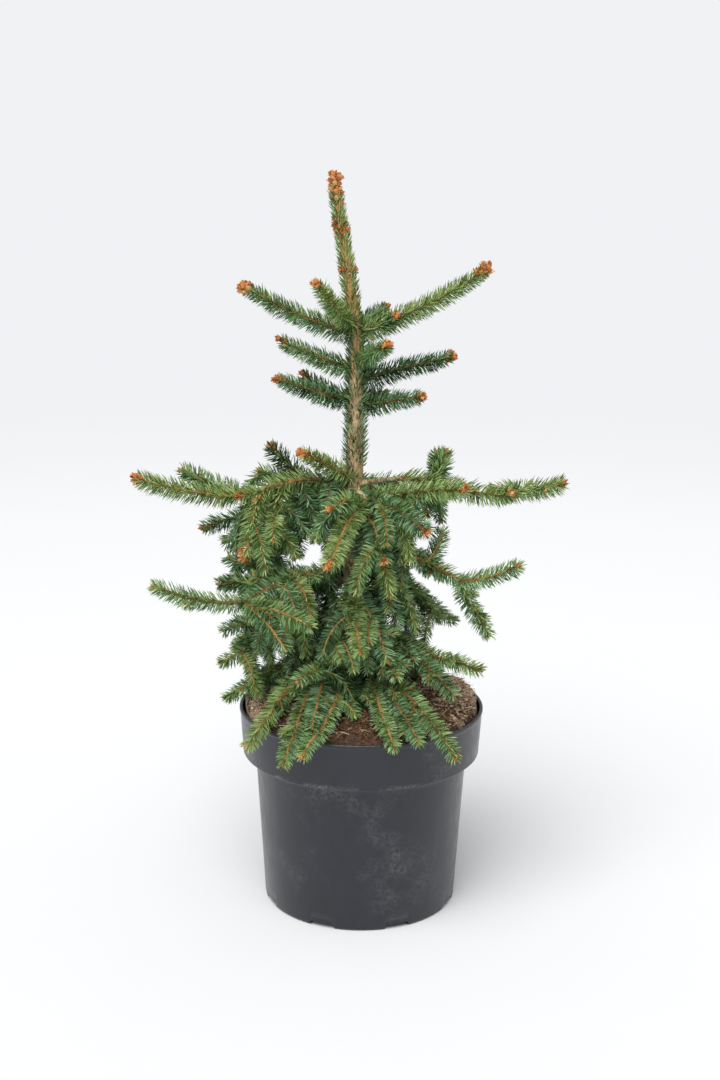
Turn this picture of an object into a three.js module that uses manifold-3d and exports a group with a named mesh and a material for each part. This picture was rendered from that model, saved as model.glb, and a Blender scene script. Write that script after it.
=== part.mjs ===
// Young weeping norway spruce growing in its round nursery pot.
// Millimetres, +Z up. The origin is the middle of the pot's underside and the plant's front
// faces -Y. Bearings are in degrees about the trunk: 0 right, 90 back, 180 left, 270 front.
import * as THREE from "three";
import { mergeVertices } from "three/addons/utils/BufferGeometryUtils.js";
import Module from "manifold-3d";

const wasm = await Module();
wasm.setup();
const { Manifold, Mesh: SolidMesh } = wasm;

// ---- driving sizes ----

const seam = 0.3; // clearance where two pieces touch

const pot = {
  height: 205.5,
  rimRadius: 124.5,
  bandFoot: 157.5, // height of the lower edge of the rim band
  bandFootRadius: 121,
  shoulder: 7.5, // depth of the turned-in shoulder under the band
  bodyRadius: 107.9, // just under the shoulder
  baseRadius: 98.6,
  corner: 2.5, // rounding between wall and foot
  wall: 1.8,
  lip: 3.4, // width of the rolled lip
  footWidth: 8,
  padRadius: 52, // flat middle of the underside
  channelDepth: 6, // drainage channel between the pad and the foot
  facets: 32,
};
const notch = { count: 8, width: 26, height: 9, depth: 14 };

const compostTop = 192;
const mulch = { edge: 203, edgeInset: 2, crown: 29, lump: 3, facets: 20, rings: 4 };

// Trunk: height, sideways lean and radius from the flat cut at ground level to the tip.
const trunkStations = [
  { height: compostTop + seam, lean: 0, radius: 15 },
  { height: 202, lean: 0, radius: 11.5 },
  { height: 225, lean: -1, radius: 10 },
  { height: 300, lean: -7, radius: 9 },
  { height: 390, lean: -12, radius: 8 },
  { height: 440, lean: -9, radius: 7.2 },
  { height: 575, lean: -7, radius: 5.2 },
  { height: 650, lean: -18, radius: 3.4 },
  { height: 722, lean: -30, radius: 1.5 },
];
const trunkSides = 9;
const upperFrom = 440; // foliage rooted above this height is the brighter green

// Needles round the upright trunk: height and half width of the sleeve.
const leaderStations = [
  { height: 452, half: 12 },
  { height: 468, half: 15.5 },
  { height: 520, half: 14.5 },
  { height: 570, half: 13.5 },
  { height: 610, half: 11 },
  { height: 655, half: 10.5 },
  { height: 700, half: 10 },
  { height: 728, half: 8 },
];
const leaderTip = 736;

// Boughs: bare limbs from the trunk to where their foliage begins.
const boughTaper = 0.72;
const boughs = [
  { name: "left_arm", height: 438, bearing: 203, length: 34, pitch: 6, radius: 3.2 },
  { name: "right_arm", height: 434, bearing: 349, length: 50, pitch: 10, radius: 3.3 },
  { name: "front_arm", height: 432, bearing: 288, length: 40, pitch: -8, radius: 3.2 },
  { name: "back_arm", height: 436, bearing: 86, length: 34, pitch: -12, radius: 3.1 },
  { name: "back_left_arm", height: 434, bearing: 140, length: 32, pitch: -14, radius: 2.8 },
  { name: "mid_left_limb", height: 360, bearing: 228, length: 36, pitch: -12, radius: 3.4 },
  { name: "mid_right_limb", height: 372, bearing: 326, length: 34, pitch: 4, radius: 3.2 },
  { name: "mid_front_limb", height: 350, bearing: 276, length: 32, pitch: -14, radius: 3.2 },
  { name: "back_right_limb", height: 346, bearing: 38, length: 34, pitch: -8, radius: 3.1 },
  { name: "back_mid_limb", height: 348, bearing: 100, length: 34, pitch: -8, radius: 3.2 },
  { name: "back_left_limb", height: 334, bearing: 152, length: 34, pitch: -8, radius: 3 },
  { name: "lower_left_limb", height: 304, bearing: 204, length: 34, pitch: -8, radius: 3.1 },
  { name: "low_side_limb", height: 270, bearing: 222, length: 36, pitch: -6, radius: 3.2 },
  { name: "low_front_limb", height: 252, bearing: 276, length: 34, pitch: -4, radius: 3.3 },
  { name: "low_right_limb", height: 288, bearing: 324, length: 36, pitch: -2, radius: 3.2 },
  { name: "low_back_limb", height: 262, bearing: 92, length: 36, pitch: -4, radius: 3.2 },
];

// Foliage: a spray is the needled shoots that share one root, on the trunk at a height, at a
// bough's end, or a share of the way along another spray's first shoot. Its half width is the brush's own or
// fuller. A shoot has its bearing, length, pitch above level, upward bow at its middle, and how
// far along the spray's first shoot it leaves.
const brush = { half: 11.5, flat: 0.84, sides: 5, uneven: 0.13 };
const shoot = (bearing, length, pitch, bow = 0, from = 0) => ({ bearing, length, pitch, bow, from });
const sprays = [
  { name: "top_left_spray", height: 580, shoots: [shoot(185, 121, 24, -4)] },
  { name: "top_front_spray", height: 586, shoots: [shoot(232, 80, 40, -2)] },
  { name: "top_right_spray", height: 584, shoots: [shoot(4, 143, 26, -7)] },
  { name: "top_back_spray", height: 587, shoots: [shoot(113, 79, 15, 3), shoot(53, 54, 21)] },
  { name: "second_left_spray", height: 546, shoots: [shoot(180, 84, 22, -1)] },
  { name: "second_front_spray", height: 552, shoots: [shoot(303, 62, 24, 3)] },
  { name: "second_right_spray", height: 538, shoots: [shoot(0, 104, 13, 3)] },
  { name: "second_back_spray", height: 545, shoots: [shoot(80, 81, 0, 4)] },
  { name: "third_left_spray", height: 513, shoots: [shoot(194, 86, 20, 0), shoot(156, 68, 22, 0)] },
  { name: "third_right_spray", height: 510, shoots: [shoot(344, 72, 11, 2)] },
  { name: "third_back_spray", height: 513, shoots: [shoot(92, 75, -3, 4), shoot(51, 53, 10)] },
  { name: "whorl_left_spray", height: 441, shoots: [shoot(216, 75, 27, -1)] },

  {
    name: "left_arm_spray",
    limb: "left_arm",
    shoots: [shoot(198, 90, -8, 4), shoot(242, 67, -69, 2, 0.75), shoot(228, 71, -70, 2, 0.5)],
  },
  { name: "left_arm_tip", after: "left_arm_spray", shoots: [shoot(186, 100, 11, -4)] },
  { name: "left_arm_rear", after: "left_arm_spray", shoots: [shoot(146, 74, 14)] },
  {
    name: "right_arm_spray",
    limb: "right_arm",
    shoots: [shoot(352, 78, -9, 2), shoot(338, 40, -2, 0, 0.98), shoot(98, 40, 55, 0, 0.55)],
  },
  { name: "right_arm_tip", after: "right_arm_spray", shoots: [shoot(353, 90, 8, -2)] },
  {
    name: "front_right_spray",
    limb: "front_arm",
    shoots: [shoot(340, 105, 9, 2), shoot(356, 75, 5, 1), shoot(306, 104, -8, 5)],
  },
  {
    name: "front_left_spray",
    limb: "front_arm",
    shoots: [
      shoot(250, 111, -25, 7),
      shoot(242, 72, 1, 4),
      shoot(290, 77, -43, 4),
      shoot(262, 68, -62, 3),
    ],
  },
  {
    name: "back_arm_spray",
    limb: "back_arm",
    half: 13,
    shoots: [shoot(97, 112, -24, 8), shoot(67, 92, -24, 7), shoot(128, 96, -26, 7)],
  },
  {
    name: "back_left_spray",
    limb: "back_left_arm",
    shoots: [
      shoot(153, 65, -26, 4),
      shoot(154, 82, 28, -12),
      shoot(158, 84, 8, -4),
      shoot(150, 62, -55, 6),
    ],
  },
  {
    name: "back_left_tip",
    after: "back_left_spray",
    shoots: [shoot(183, 86, -13, 2), shoot(191, 74, -31, 2)],
  },

  {
    name: "mid_left_spray",
    limb: "mid_left_limb",
    half: 15,
    shoots: [shoot(220, 111, -9, 5), shoot(162, 83, 6, 2, 0.3), shoot(168, 75, -7, 0, 0.45)],
  },
  { name: "mid_left_tip", after: "mid_left_spray", shoots: [shoot(191, 86, 14, -4)] },
  {
    name: "mid_left_hanging",
    after: "mid_left_spray",
    shoots: [shoot(322, 70, -30, 5), shoot(336, 78, -9, 4)],
  },
  {
    name: "mid_right_spray",
    limb: "mid_right_limb",
    shoots: [shoot(333, 98, -15, 6), shoot(45, 37, 58, 0, 0.62), shoot(290, 90, -51, 7)],
  },
  { name: "mid_right_tip", after: "mid_right_spray", shoots: [shoot(350, 63, 22, -1)] },
  {
    name: "mid_right_hanging",
    after: "mid_right_spray",
    share: 0.82,
    shoots: [shoot(350, 74, -56, 4)],
  },
  {
    name: "mid_front_spray",
    limb: "mid_front_limb",
    half: 17,
    shoots: [shoot(253, 98, -44, 8), shoot(273, 101, -32, 6), shoot(292, 104, -36, 6)],
  },
  {
    name: "back_right_spray",
    limb: "back_right_limb",
    half: 17,
    shoots: [shoot(25, 98, -40, 7), shoot(34, 122, -36, 8), shoot(68, 110, -24, 8)],
  },
  {
    name: "back_mid_spray",
    limb: "back_mid_limb",
    half: 17,
    shoots: [shoot(76, 113, -16, 8), shoot(98, 124, -25, 9), shoot(47, 82, -3, 6)],
  },
  {
    name: "back_left_mid_spray",
    limb: "back_left_limb",
    half: 17,
    shoots: [shoot(131, 110, -19, 8), shoot(114, 117, -27, 9), shoot(166, 98, -14, 7)],
  },
  {
    name: "lower_left_spray",
    limb: "lower_left_limb",
    half: 16,
    shoots: [shoot(200, 110, -1, 5), shoot(195, 117, -21, 8), shoot(239, 77, -29, 5)],
  },

  {
    name: "low_side_spray",
    limb: "low_side_limb",
    half: 15,
    shoots: [shoot(184, 119, -25, 11), shoot(225, 136, -33, 16)],
  },
  {
    name: "low_side_hanging",
    limb: "low_side_limb",
    shoots: [shoot(249, 147, -31, 14), shoot(261, 119, -21, 9)],
  },
  {
    name: "low_front_left_spray",
    limb: "low_front_limb",
    shoots: [shoot(246, 143, -18, 12), shoot(234, 112, 9, 9)],
  },
  {
    name: "low_front_right_spray",
    limb: "low_front_limb",
    shoots: [shoot(308, 155, -18, 18), shoot(297, 130, -16, 9), shoot(286, 121, -20, 6)],
  },
  {
    name: "low_right_spray",
    limb: "low_right_limb",
    half: 15,
    shoots: [shoot(328, 115, -8, -7), shoot(312, 110, -22, 8), shoot(278, 89, -14, 6)],
  },
  {
    name: "low_back_spray",
    limb: "low_back_limb",
    half: 17,
    shoots: [shoot(93, 133, -20, 18), shoot(62, 130, -18, 16), shoot(122, 131, -19, 17)],
  },
];

// ---- finishes ----

const finish = (color, roughness) => new THREE.MeshStandardMaterial({ color, roughness, metalness: 0 });
const finishes = {
  pot: finish(0x44454d, 0.42),
  compost: finish(0x3a2a20, 0.95),
  mulch: finish(0x8a6a4c, 0.95),
  bark: finish(0x7d5f45, 0.9),
  upper: finish(0x4c7a3a, 0.75),
  lower: finish(0x33604a, 0.75),
};

// ---- helpers ----

const radians = THREE.MathUtils.degToRad;
const up = new THREE.Vector3(0, 0, 1);

function heading(bearing, pitch) {
  const level = Math.cos(radians(pitch));
  const along = radians(bearing);
  return new THREE.Vector3(level * Math.cos(along), level * Math.sin(along), Math.sin(radians(pitch)));
}

// Repeatable random numbers from 0 to 1, started from a name.
function randomFrom(name) {
  let state = 1;
  for (const letter of name) state = (state * 31 + letter.charCodeAt(0)) % 2147483647;
  return () => {
    state = (state * 48271) % 2147483647;
    return state / 2147483647;
  };
}

function solidOf(geometry) {
  const bare = geometry.clone();
  bare.deleteAttribute("normal");
  bare.deleteAttribute("uv");
  const merged = mergeVertices(bare, 1e-4);
  const index = merged.index.array;
  const triVerts = [];
  for (let i = 0; i < index.length; i += 3) {
    const [a, b, c] = [index[i], index[i + 1], index[i + 2]];
    if (a !== b && b !== c && c !== a) triVerts.push(a, b, c);
  }
  return new Manifold(new SolidMesh({
    numProp: 3,
    vertProperties: new Float32Array(merged.attributes.position.array),
    triVerts: new Uint32Array(triVerts),
  }));
}

function geometryOf(solid) {
  const mesh = solid.getMesh();
  const geometry = new THREE.BufferGeometry();
  geometry.setAttribute("position", new THREE.BufferAttribute(mesh.vertProperties, mesh.numProp));
  geometry.setIndex(new THREE.BufferAttribute(mesh.triVerts, 1));
  geometry.computeVertexNormals();
  return geometry;
}

function largestBody(solid) {
  const bodies = solid.decompose();
  bodies.sort((a, b) => b.volume() - a.volume());
  return bodies[0];
}

function union(solids) {
  return solids.reduce((whole, next) => whole.add(next));
}

// Closed skin over rings of points, each ring the same length and turning the same way.
function skinOver(rings) {
  const sides = rings[0].length;
  const positions = [];
  const index = [];
  const middle = (ring) => ring.reduce((sum, p) => sum.add(p), new THREE.Vector3()).divideScalar(sides);
  for (const ring of rings) for (const p of ring) positions.push(p.x, p.y, p.z);
  for (const ring of [rings[0], rings.at(-1)]) positions.push(...middle(ring).toArray());
  const first = rings.length * sides;
  const lastRing = (rings.length - 1) * sides;
  for (let side = 0; side < sides; side++) {
    const next = (side + 1) % sides;
    for (let row = 0; row < rings.length - 1; row++) {
      const here = row * sides;
      const above = here + sides;
      index.push(here + side, here + next, above + next);
      index.push(here + side, above + next, above + side);
    }
    index.push(first, next, side);
    index.push(first + 1, lastRing + side, lastRing + next);
  }
  const geometry = new THREE.BufferGeometry();
  geometry.setAttribute("position", new THREE.Float32BufferAttribute(positions, 3));
  geometry.setIndex(index);
  return geometry;
}

// Ring of points round a centre, square to a direction, flattened by a share of its width.
function ringAround(centre, direction, radiusOf, sides, flat = 1) {
  const steep = Math.abs(direction.dot(up)) > 0.98;
  const side = new THREE.Vector3().crossVectors(direction, steep ? new THREE.Vector3(0, 1, 0) : up);
  side.normalize();
  const above = new THREE.Vector3().crossVectors(side, direction).normalize();
  return Array.from({ length: sides }, (_, k) => {
    const turn = (2 * Math.PI * k) / sides;
    const reach = radiusOf(k);
    return centre.clone()
      .addScaledVector(above, Math.cos(turn) * reach * flat)
      .addScaledVector(side, Math.sin(turn) * reach);
  });
}

function trunkAt(height) {
  const last = trunkStations.length - 2;
  const after = trunkStations.findIndex((station) => station.height > height);
  const row = after < 0 ? last : Math.max(0, after - 1);
  const [low, high] = [trunkStations[row], trunkStations[row + 1]];
  const share = (height - low.height) / (high.height - low.height);
  return new THREE.Vector3(THREE.MathUtils.lerp(low.lean, high.lean, share), 0, height);
}

// ---- pot, compost and mulch ----

// Half section of the pot from the middle of its underside, round the rim and back inside.
function potProfile() {
  const { height, rimRadius, bandFoot, bandFootRadius, shoulder, bodyRadius, baseRadius } = pot;
  const { corner, wall, lip, footWidth, padRadius, channelDepth } = pot;
  const footInner = baseRadius - corner - footWidth;
  const floor = channelDepth + wall;
  return [
    [0, 0],
    [padRadius, 0],
    [padRadius + 4, channelDepth],
    [footInner - 3, channelDepth],
    [footInner, 0],
    [baseRadius - corner, 0],
    [baseRadius, corner],
    [bodyRadius, bandFoot - shoulder],
    [bodyRadius + 2.6, bandFoot - 2.2],
    [bandFootRadius - 3, bandFoot],
    [bandFootRadius, bandFoot + 3],
    [rimRadius - 0.8, height - 4],
    [rimRadius, height - 1.6],
    [rimRadius - 1.2, height],
    [rimRadius - lip + 0.6, height],
    [rimRadius - lip, height - 2],
    [bandFootRadius - wall, bandFoot + 5],
    [bodyRadius - wall, bandFoot - shoulder + 2],
    [baseRadius - wall, floor],
    [0, floor],
  ];
}

// The pot filled to its rim, as the space it takes from the foliage.
function potOutline(clearance) {
  const outside = potProfile().filter(([, height], k) => k > 5 && height > 0);
  const rim = outside.findIndex(([, height]) => height === pot.height);
  const wall = outside.slice(0, rim + 1).map(([radius, height]) => [radius + clearance, height]);
  const top = pot.height + clearance;
  return turned([[0, pot.corner], ...wall, [pot.rimRadius, top], [0, top]], pot.facets);
}

function turned(profile, facets) {
  const outline = profile.map(([radius, height]) => new THREE.Vector2(radius, height));
  return solidOf(new THREE.LatheGeometry(outline, facets).rotateX(Math.PI / 2));
}

function potSolid() {
  let shell = turned(potProfile(), pot.facets);
  for (let k = 0; k < notch.count; k++) {
    const bearing = (360 / notch.count) * (k + 0.5);
    const cutter = new THREE.BoxGeometry(notch.depth, notch.width, notch.height);
    cutter.translate(pot.baseRadius - 3, 0, 0);
    cutter.rotateZ(radians(bearing));
    shell = shell.subtract(solidOf(cutter));
  }
  return shell;
}

// Inside radius of the pot's wall at a height, less the seam.
function innerRadius(height) {
  const low = pot.channelDepth + pot.wall;
  const knee = pot.bandFoot - pot.shoulder + 2;
  const share = Math.min(1, (height - low) / (knee - low));
  const body = THREE.MathUtils.lerp(pot.baseRadius, pot.bodyRadius, share) - pot.wall;
  const flare = Math.max(0, (height - knee) / (pot.bandFoot + 5 - knee));
  const band = THREE.MathUtils.lerp(body, pot.bandFootRadius - pot.wall, Math.min(1, flare));
  return band - 2 * seam;
}

function compostSolid() {
  const base = pot.channelDepth + pot.wall + seam;
  const knee = pot.bandFoot - pot.shoulder + 2;
  const heights = [base, knee, pot.bandFoot + 6, compostTop];
  const wall = heights.map((height) => [innerRadius(height), height]);
  return turned([[0, base], ...wall, [0, compostTop]], pot.facets);
}

// Loose coir heaped a little above the rim, lumpy on top and flat underneath.
function mulchSolid(clearance = 0) {
  const random = randomFrom("coir mulch");
  const base = compostTop + seam;
  const edgeRadius = innerRadius(compostTop) - mulch.edgeInset;
  const ringAt = (radius, heightOf) => Array.from({ length: mulch.facets }, (_, k) => {
    const turn = (2 * Math.PI * k) / mulch.facets;
    return new THREE.Vector3(radius * Math.cos(turn), radius * Math.sin(turn), heightOf());
  });
  const edge = mulch.edge + clearance;
  const rings = [ringAt(edgeRadius, () => base), ringAt(edgeRadius + mulch.edgeInset, () => edge)];
  for (let row = 1; row < mulch.rings; row++) {
    const share = 1 - row / mulch.rings;
    const heap = edge + mulch.crown * Math.sqrt(1 - share * share);
    rings.push(ringAt(edgeRadius * share, () => heap + mulch.lump * (random() - 0.5) * 2));
  }
  return solidOf(skinOver(rings));
}

// ---- trunk and boughs ----

function trunkSolid(clearance = 0) {
  const top = trunkStations.length - 1;
  const rings = trunkStations.map((station, row) => {
    const height = station.height + (row === top ? clearance : 0);
    const centre = new THREE.Vector3(station.lean, 0, height);
    return ringAround(centre, up, () => station.radius + clearance, trunkSides);
  });
  return solidOf(skinOver(rings));
}

// A bough starts inside the trunk, so that cutting the trunk away leaves it seated on the bark.
function boughSolid(bough, clearance = 0) {
  const along = heading(bough.bearing, bough.pitch);
  const start = trunkAt(bough.height);
  const reach = bough.length + clearance;
  const rings = [0, 0.34, 0.67, 1].map((share) => {
    const centre = start.clone().addScaledVector(along, reach * share);
    const radius = bough.radius * THREE.MathUtils.lerp(1, boughTaper, share) * (share === 0 ? 1.3 : 1);
    return ringAround(centre, along, () => radius + clearance, brush.sides);
  });
  return solidOf(skinOver(rings));
}

// ---- foliage ----

function pointOn(piece, share) {
  const { start, shoot: { bearing, pitch, length, bow } } = piece;
  return start.clone()
    .addScaledVector(heading(bearing, pitch), length * share)
    .addScaledVector(up, bow * 4 * share * (1 - share));
}

const boughNamed = Object.fromEntries(boughs.map((bough) => [bough.name, bough]));
const sprayNamed = Object.fromEntries(sprays.map((spray) => [spray.name, spray]));

function rootOf(spray) {
  if (spray.height) return trunkAt(spray.height);
  if (spray.limb) {
    const { height, bearing, pitch, length } = boughNamed[spray.limb];
    return trunkAt(height).addScaledVector(heading(bearing, pitch), length - 3);
  }
  const carrier = sprayNamed[spray.after];
  return pointOn({ start: rootOf(carrier), shoot: carrier.shoots[0] }, spray.share ?? 1);
}

// One needled shoot: blunt at its root, fullest in the first third, closing to a round tip.
const brushShares = [0, 0.12, 0.5, 0.88, 1];
const brushFullness = [0.5, 0.95, 1, 0.85, 0.25];

function brushSolid(piece, half, random, clearance) {
  const spare = clearance / piece.shoot.length;
  const rings = brushShares.map((share, row) => {
    const centre = pointOn(piece, share * (1 + 2 * spare) - spare);
    const direction = pointOn(piece, share + 0.05).sub(pointOn(piece, share - 0.05)).normalize();
    const reachOut = () => half * brushFullness[row] * (1 + brush.uneven * (2 * random() - 1));
    return ringAround(centre, direction, () => reachOut() + clearance, brush.sides, brush.flat);
  });
  return solidOf(skinOver(rings));
}

function spraySolid(spray, clearance = 0) {
  const random = randomFrom(spray.name);
  const root = rootOf(spray);
  const main = { start: root, shoot: spray.shoots[0] };
  return union(spray.shoots.map((one, k) => {
    const start = k === 0 ? root : pointOn(main, one.from);
    return brushSolid({ start, shoot: one }, spray.half ?? brush.half, random, clearance);
  }));
}

// Needles that clothe the trunk above the big whorl and run on past its tip.
function leaderSolid(clearance = 0) {
  const random = randomFrom("leader");
  const rings = leaderStations.map((station) => {
    const half = () => station.half * (1 + brush.uneven * (2 * random() - 1));
    return ringAround(trunkAt(station.height), up, () => half() + clearance, trunkSides);
  });
  for (const point of rings[0]) point.z -= clearance;
  rings.push(ringAround(trunkAt(leaderTip + clearance), up, () => 2.5 + clearance, trunkSides));
  return solidOf(skinOver(rings));
}

// ---- assembly ----

const tree = new THREE.Group();
const taken = []; // space that the next pieces keep out of: what is placed, a seam larger

function place(name, solid, material) {
  const clear = taken.reduce((rest, other) => rest.subtract(other), solid);
  const mesh = new THREE.Mesh(geometryOf(largestBody(clear)), material);
  mesh.name = name;
  tree.add(mesh);
}

place("pot", potSolid(), finishes.pot);
place("compost", compostSolid(), finishes.compost);

place("trunk", trunkSolid(), finishes.bark);
taken.push(trunkSolid(seam));

place("mulch", mulchSolid(), finishes.mulch);
taken.push(mulchSolid(seam), potOutline(seam));

for (const bough of boughs) {
  place(bough.name, boughSolid(bough), finishes.bark);
  taken.push(boughSolid(bough, seam));
}

place("leader_needles", leaderSolid(), finishes.upper);
taken.push(leaderSolid(seam));

for (const spray of sprays) {
  place(spray.name, spraySolid(spray), rootOf(spray).z > upperFrom ? finishes.upper : finishes.lower);
  taken.push(spraySolid(spray, seam));
}

export default tree;
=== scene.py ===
import heapq
import math
import bmesh
import bpy
import numpy as np
from mathutils import Matrix, Vector, noise
from mathutils.bvhtree import BVHTree


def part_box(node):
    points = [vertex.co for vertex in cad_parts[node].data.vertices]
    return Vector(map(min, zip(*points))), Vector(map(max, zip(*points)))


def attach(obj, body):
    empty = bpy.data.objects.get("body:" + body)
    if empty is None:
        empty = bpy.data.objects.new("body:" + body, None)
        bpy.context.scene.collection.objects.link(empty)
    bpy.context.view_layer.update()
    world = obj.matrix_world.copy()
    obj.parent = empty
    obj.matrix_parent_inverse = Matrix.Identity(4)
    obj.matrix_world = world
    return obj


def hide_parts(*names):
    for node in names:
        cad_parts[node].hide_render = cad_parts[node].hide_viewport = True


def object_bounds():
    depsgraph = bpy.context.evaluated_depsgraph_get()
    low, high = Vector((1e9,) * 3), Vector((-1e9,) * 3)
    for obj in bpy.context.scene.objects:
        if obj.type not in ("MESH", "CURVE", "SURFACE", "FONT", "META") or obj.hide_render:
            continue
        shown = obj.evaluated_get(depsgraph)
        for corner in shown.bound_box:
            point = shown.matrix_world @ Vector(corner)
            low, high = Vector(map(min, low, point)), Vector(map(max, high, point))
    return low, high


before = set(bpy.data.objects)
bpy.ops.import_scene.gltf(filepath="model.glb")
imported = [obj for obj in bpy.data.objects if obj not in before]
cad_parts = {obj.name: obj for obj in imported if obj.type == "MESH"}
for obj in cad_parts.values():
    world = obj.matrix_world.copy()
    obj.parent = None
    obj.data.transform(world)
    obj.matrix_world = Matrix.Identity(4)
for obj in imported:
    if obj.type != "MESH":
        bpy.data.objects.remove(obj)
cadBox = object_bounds()
print("frame loaded:", len(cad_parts), "nodes")

mm = 0.001
fullTurn = 2 * math.pi
goldenTurn = math.pi * (3 - math.sqrt(5))
upAxis = np.array((0.0, 0.0, 1.0))

cameraView = {
    "place": (-0.0028, -1.548, 0.7493),
    "lens": 53.0, "film": 36.0, "nearest": 0.02,
    "lookDown": 13.52, "roll": 0.52,   # degrees
}


def addObject(name, data):
    added = bpy.data.objects.new(name, data)
    bpy.context.scene.collection.objects.link(added)
    return added


def makeCamera(view):
    data = bpy.data.cameras.new("camera")
    data.lens = view["lens"]
    data.sensor_fit = "VERTICAL"
    data.sensor_height = view["film"]
    data.clip_start = view["nearest"]
    camera = addObject("camera", data)
    tilt = Matrix.Rotation(math.radians(90 - view["lookDown"]), 4, "X")
    roll = Matrix.Rotation(math.radians(view["roll"]), 4, "Z")
    camera.matrix_world = Matrix.Translation(view["place"]) @ tilt @ roll
    bpy.context.scene.camera = camera


makeCamera(cameraView)
print("camera placed")


def unit(v):
    v = np.asarray(v, float)
    return v / np.maximum(np.linalg.norm(v, axis=-1, keepdims=True), 1e-12)


def lengths(rows):
    return np.linalg.norm(rows, axis=-1)


def pathLength(path):
    return float(lengths(np.diff(path, axis=0)).sum())


def tangents(path):
    return unit(np.gradient(path, axis=0))


def turnsOf(count):
    return np.arange(count) * fullTurn / count


def columns(*rows):
    return np.stack(rows, axis=1)


def swung(turn, first, second):
    # the first heading turned towards the second by each angle
    return np.cos(turn)[:, None] * first + np.sin(turn)[:, None] * second


def between(at, scale, rows):
    # rows of numbers read off at places on a scale
    return np.stack([np.interp(at, scale, column) for column in rows.T], axis=-1)


def resampled(path, step):
    path = np.asarray(path, float)
    along = np.concatenate(([0.0], np.cumsum(lengths(np.diff(path, axis=0)))))
    count = max(3, int(round(along[-1] / step)) + 1)
    return between(np.linspace(0.0, along[-1], count), along, path)


def smoothed(path, passes):
    path = np.array(path, float)
    for _ in range(passes):
        path[1:-1] = 0.25 * path[:-2] + 0.5 * path[1:-1] + 0.25 * path[2:]
    return path


def tubeMesh(path, radii, sides):
    # rings carried along a path without twist, closed at both ends; radii is one number or one row a ring
    path = np.asarray(path, float)
    rows = len(path)
    radii = np.broadcast_to(np.asarray(radii, float).reshape(rows, -1), (rows, sides))
    heading = tangents(path)
    side = np.cross(heading[0], upAxis)
    if np.linalg.norm(side) < 0.2:
        side = np.cross(heading[0], (0.0, 1.0, 0.0))
    turn = turnsOf(sides)
    rings = []
    for centre, direction, reach in zip(path, heading, radii):
        side = unit(side - direction * side.dot(direction))
        rings.append(centre + swung(turn, side, np.cross(direction, side)) * reach[:, None])
    k = np.arange(sides)
    after = (k + 1) % sides
    faces = []
    for row in range(rows - 1):
        a, b = row * sides, (row + 1) * sides
        faces += [columns(a + k, a + after, b + after), columns(a + k, b + after, b + k)]
    first, end = rows * sides, (rows - 1) * sides
    faces.append(columns(np.full(sides, first), after, k))
    faces.append(columns(np.full(sides, first + 1), end + k, end + after))
    return np.concatenate(rings + [path[:1], path[-1:]]), np.concatenate(faces)


def meshPiece(name, points, faces, materials, kinds=None, smooth=True):
    faces = np.ascontiguousarray(faces, np.int32)
    count, corners = faces.shape
    mesh = bpy.data.meshes.new(name)
    mesh.vertices.add(len(points))
    mesh.vertices.foreach_set("co", np.ascontiguousarray(points, np.float32).ravel())
    mesh.loops.add(count * corners)
    mesh.loops.foreach_set("vertex_index", faces.ravel())
    mesh.polygons.add(count)
    mesh.polygons.foreach_set("loop_start", np.arange(count, dtype=np.int32) * corners)
    for material in materials:
        mesh.materials.append(material)
    if kinds is not None:
        mesh.polygons.foreach_set("material_index", np.ascontiguousarray(kinds, np.int32))
    mesh.polygons.foreach_set("use_smooth", np.full(count, smooth))
    mesh.update(calc_edges=True)
    return addObject(name, mesh)


class Joiner:
    # gathers many small meshes, to be joined into one piece
    def __init__(self):
        self.points, self.faces, self.kinds, self.total = [], [], [], 0

    def add(self, points, faces, kind=0):
        self.points.append(points)
        self.faces.append(faces + self.total)
        self.kinds.append(np.broadcast_to(kind, len(faces)))
        self.total += len(points)

    def joined(self, name, materials, smooth=True, scale=1.0):
        points, faces, kinds = (np.concatenate(rows) for rows in (self.points, self.faces, self.kinds))
        return meshPiece(name, points * scale, faces, materials, kinds, smooth)


def seat(piece, slotName, *standsFor):
    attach(piece, "root")
    if standsFor:
        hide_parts(*standsFor)


def nodeShape(name):
    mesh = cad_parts[name].data
    points = np.empty(len(mesh.vertices) * 3, np.float32)
    mesh.vertices.foreach_get("co", points)
    mesh.calc_loop_triangles()
    corners = np.empty(len(mesh.loop_triangles) * 3, np.int32)
    mesh.loop_triangles.foreach_get("vertices", corners)
    return points.reshape(-1, 3).astype(float), corners.reshape(-1, 3)


def plug(tree, value, socket):
    # gives a shader socket a link, a colour or a number
    if isinstance(value, bpy.types.NodeSocket):
        tree.links.new(value, socket)
    else:
        socket.default_value = (*value, 1) if socket.type == "RGBA" else value


def addNode(tree, kind, settings=None, **inputs):
    node = tree.nodes.new("ShaderNode" + kind)
    for key, value in (settings or {}).items():
        setattr(node, key, value)
    for key, value in inputs.items():
        plug(tree, value, node.inputs[key])
    return node


def mixColor(tree, share, first, second):
    node = addNode(tree, "Mix", {"data_type": "RGBA"})
    for index, value in ((0, share), (6, first), (7, second)):
        plug(tree, value, node.inputs[index])
    return node.outputs[2]


def mathNode(tree, operation, first, second=0.5, clamp=False):
    node = addNode(tree, "Math", {"operation": operation, "use_clamp": clamp})
    plug(tree, first, node.inputs[0])
    plug(tree, second, node.inputs[1])
    return node.outputs[0]


def times(tree, first, second):
    return mathNode(tree, "MULTIPLY", first, second)


def softStep(tree, value, low, high, outLow=0.0, outHigh=1.0):
    node = addNode(tree, "MapRange", {"interpolation_type": "SMOOTHSTEP"})
    for socket, setting in zip(node.inputs, (value, low, high, outLow, outHigh)):
        plug(tree, setting, socket)
    return node.outputs[0]


def placeOn(tree):
    return addNode(tree, "TexCoord").outputs["Object"]


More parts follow.
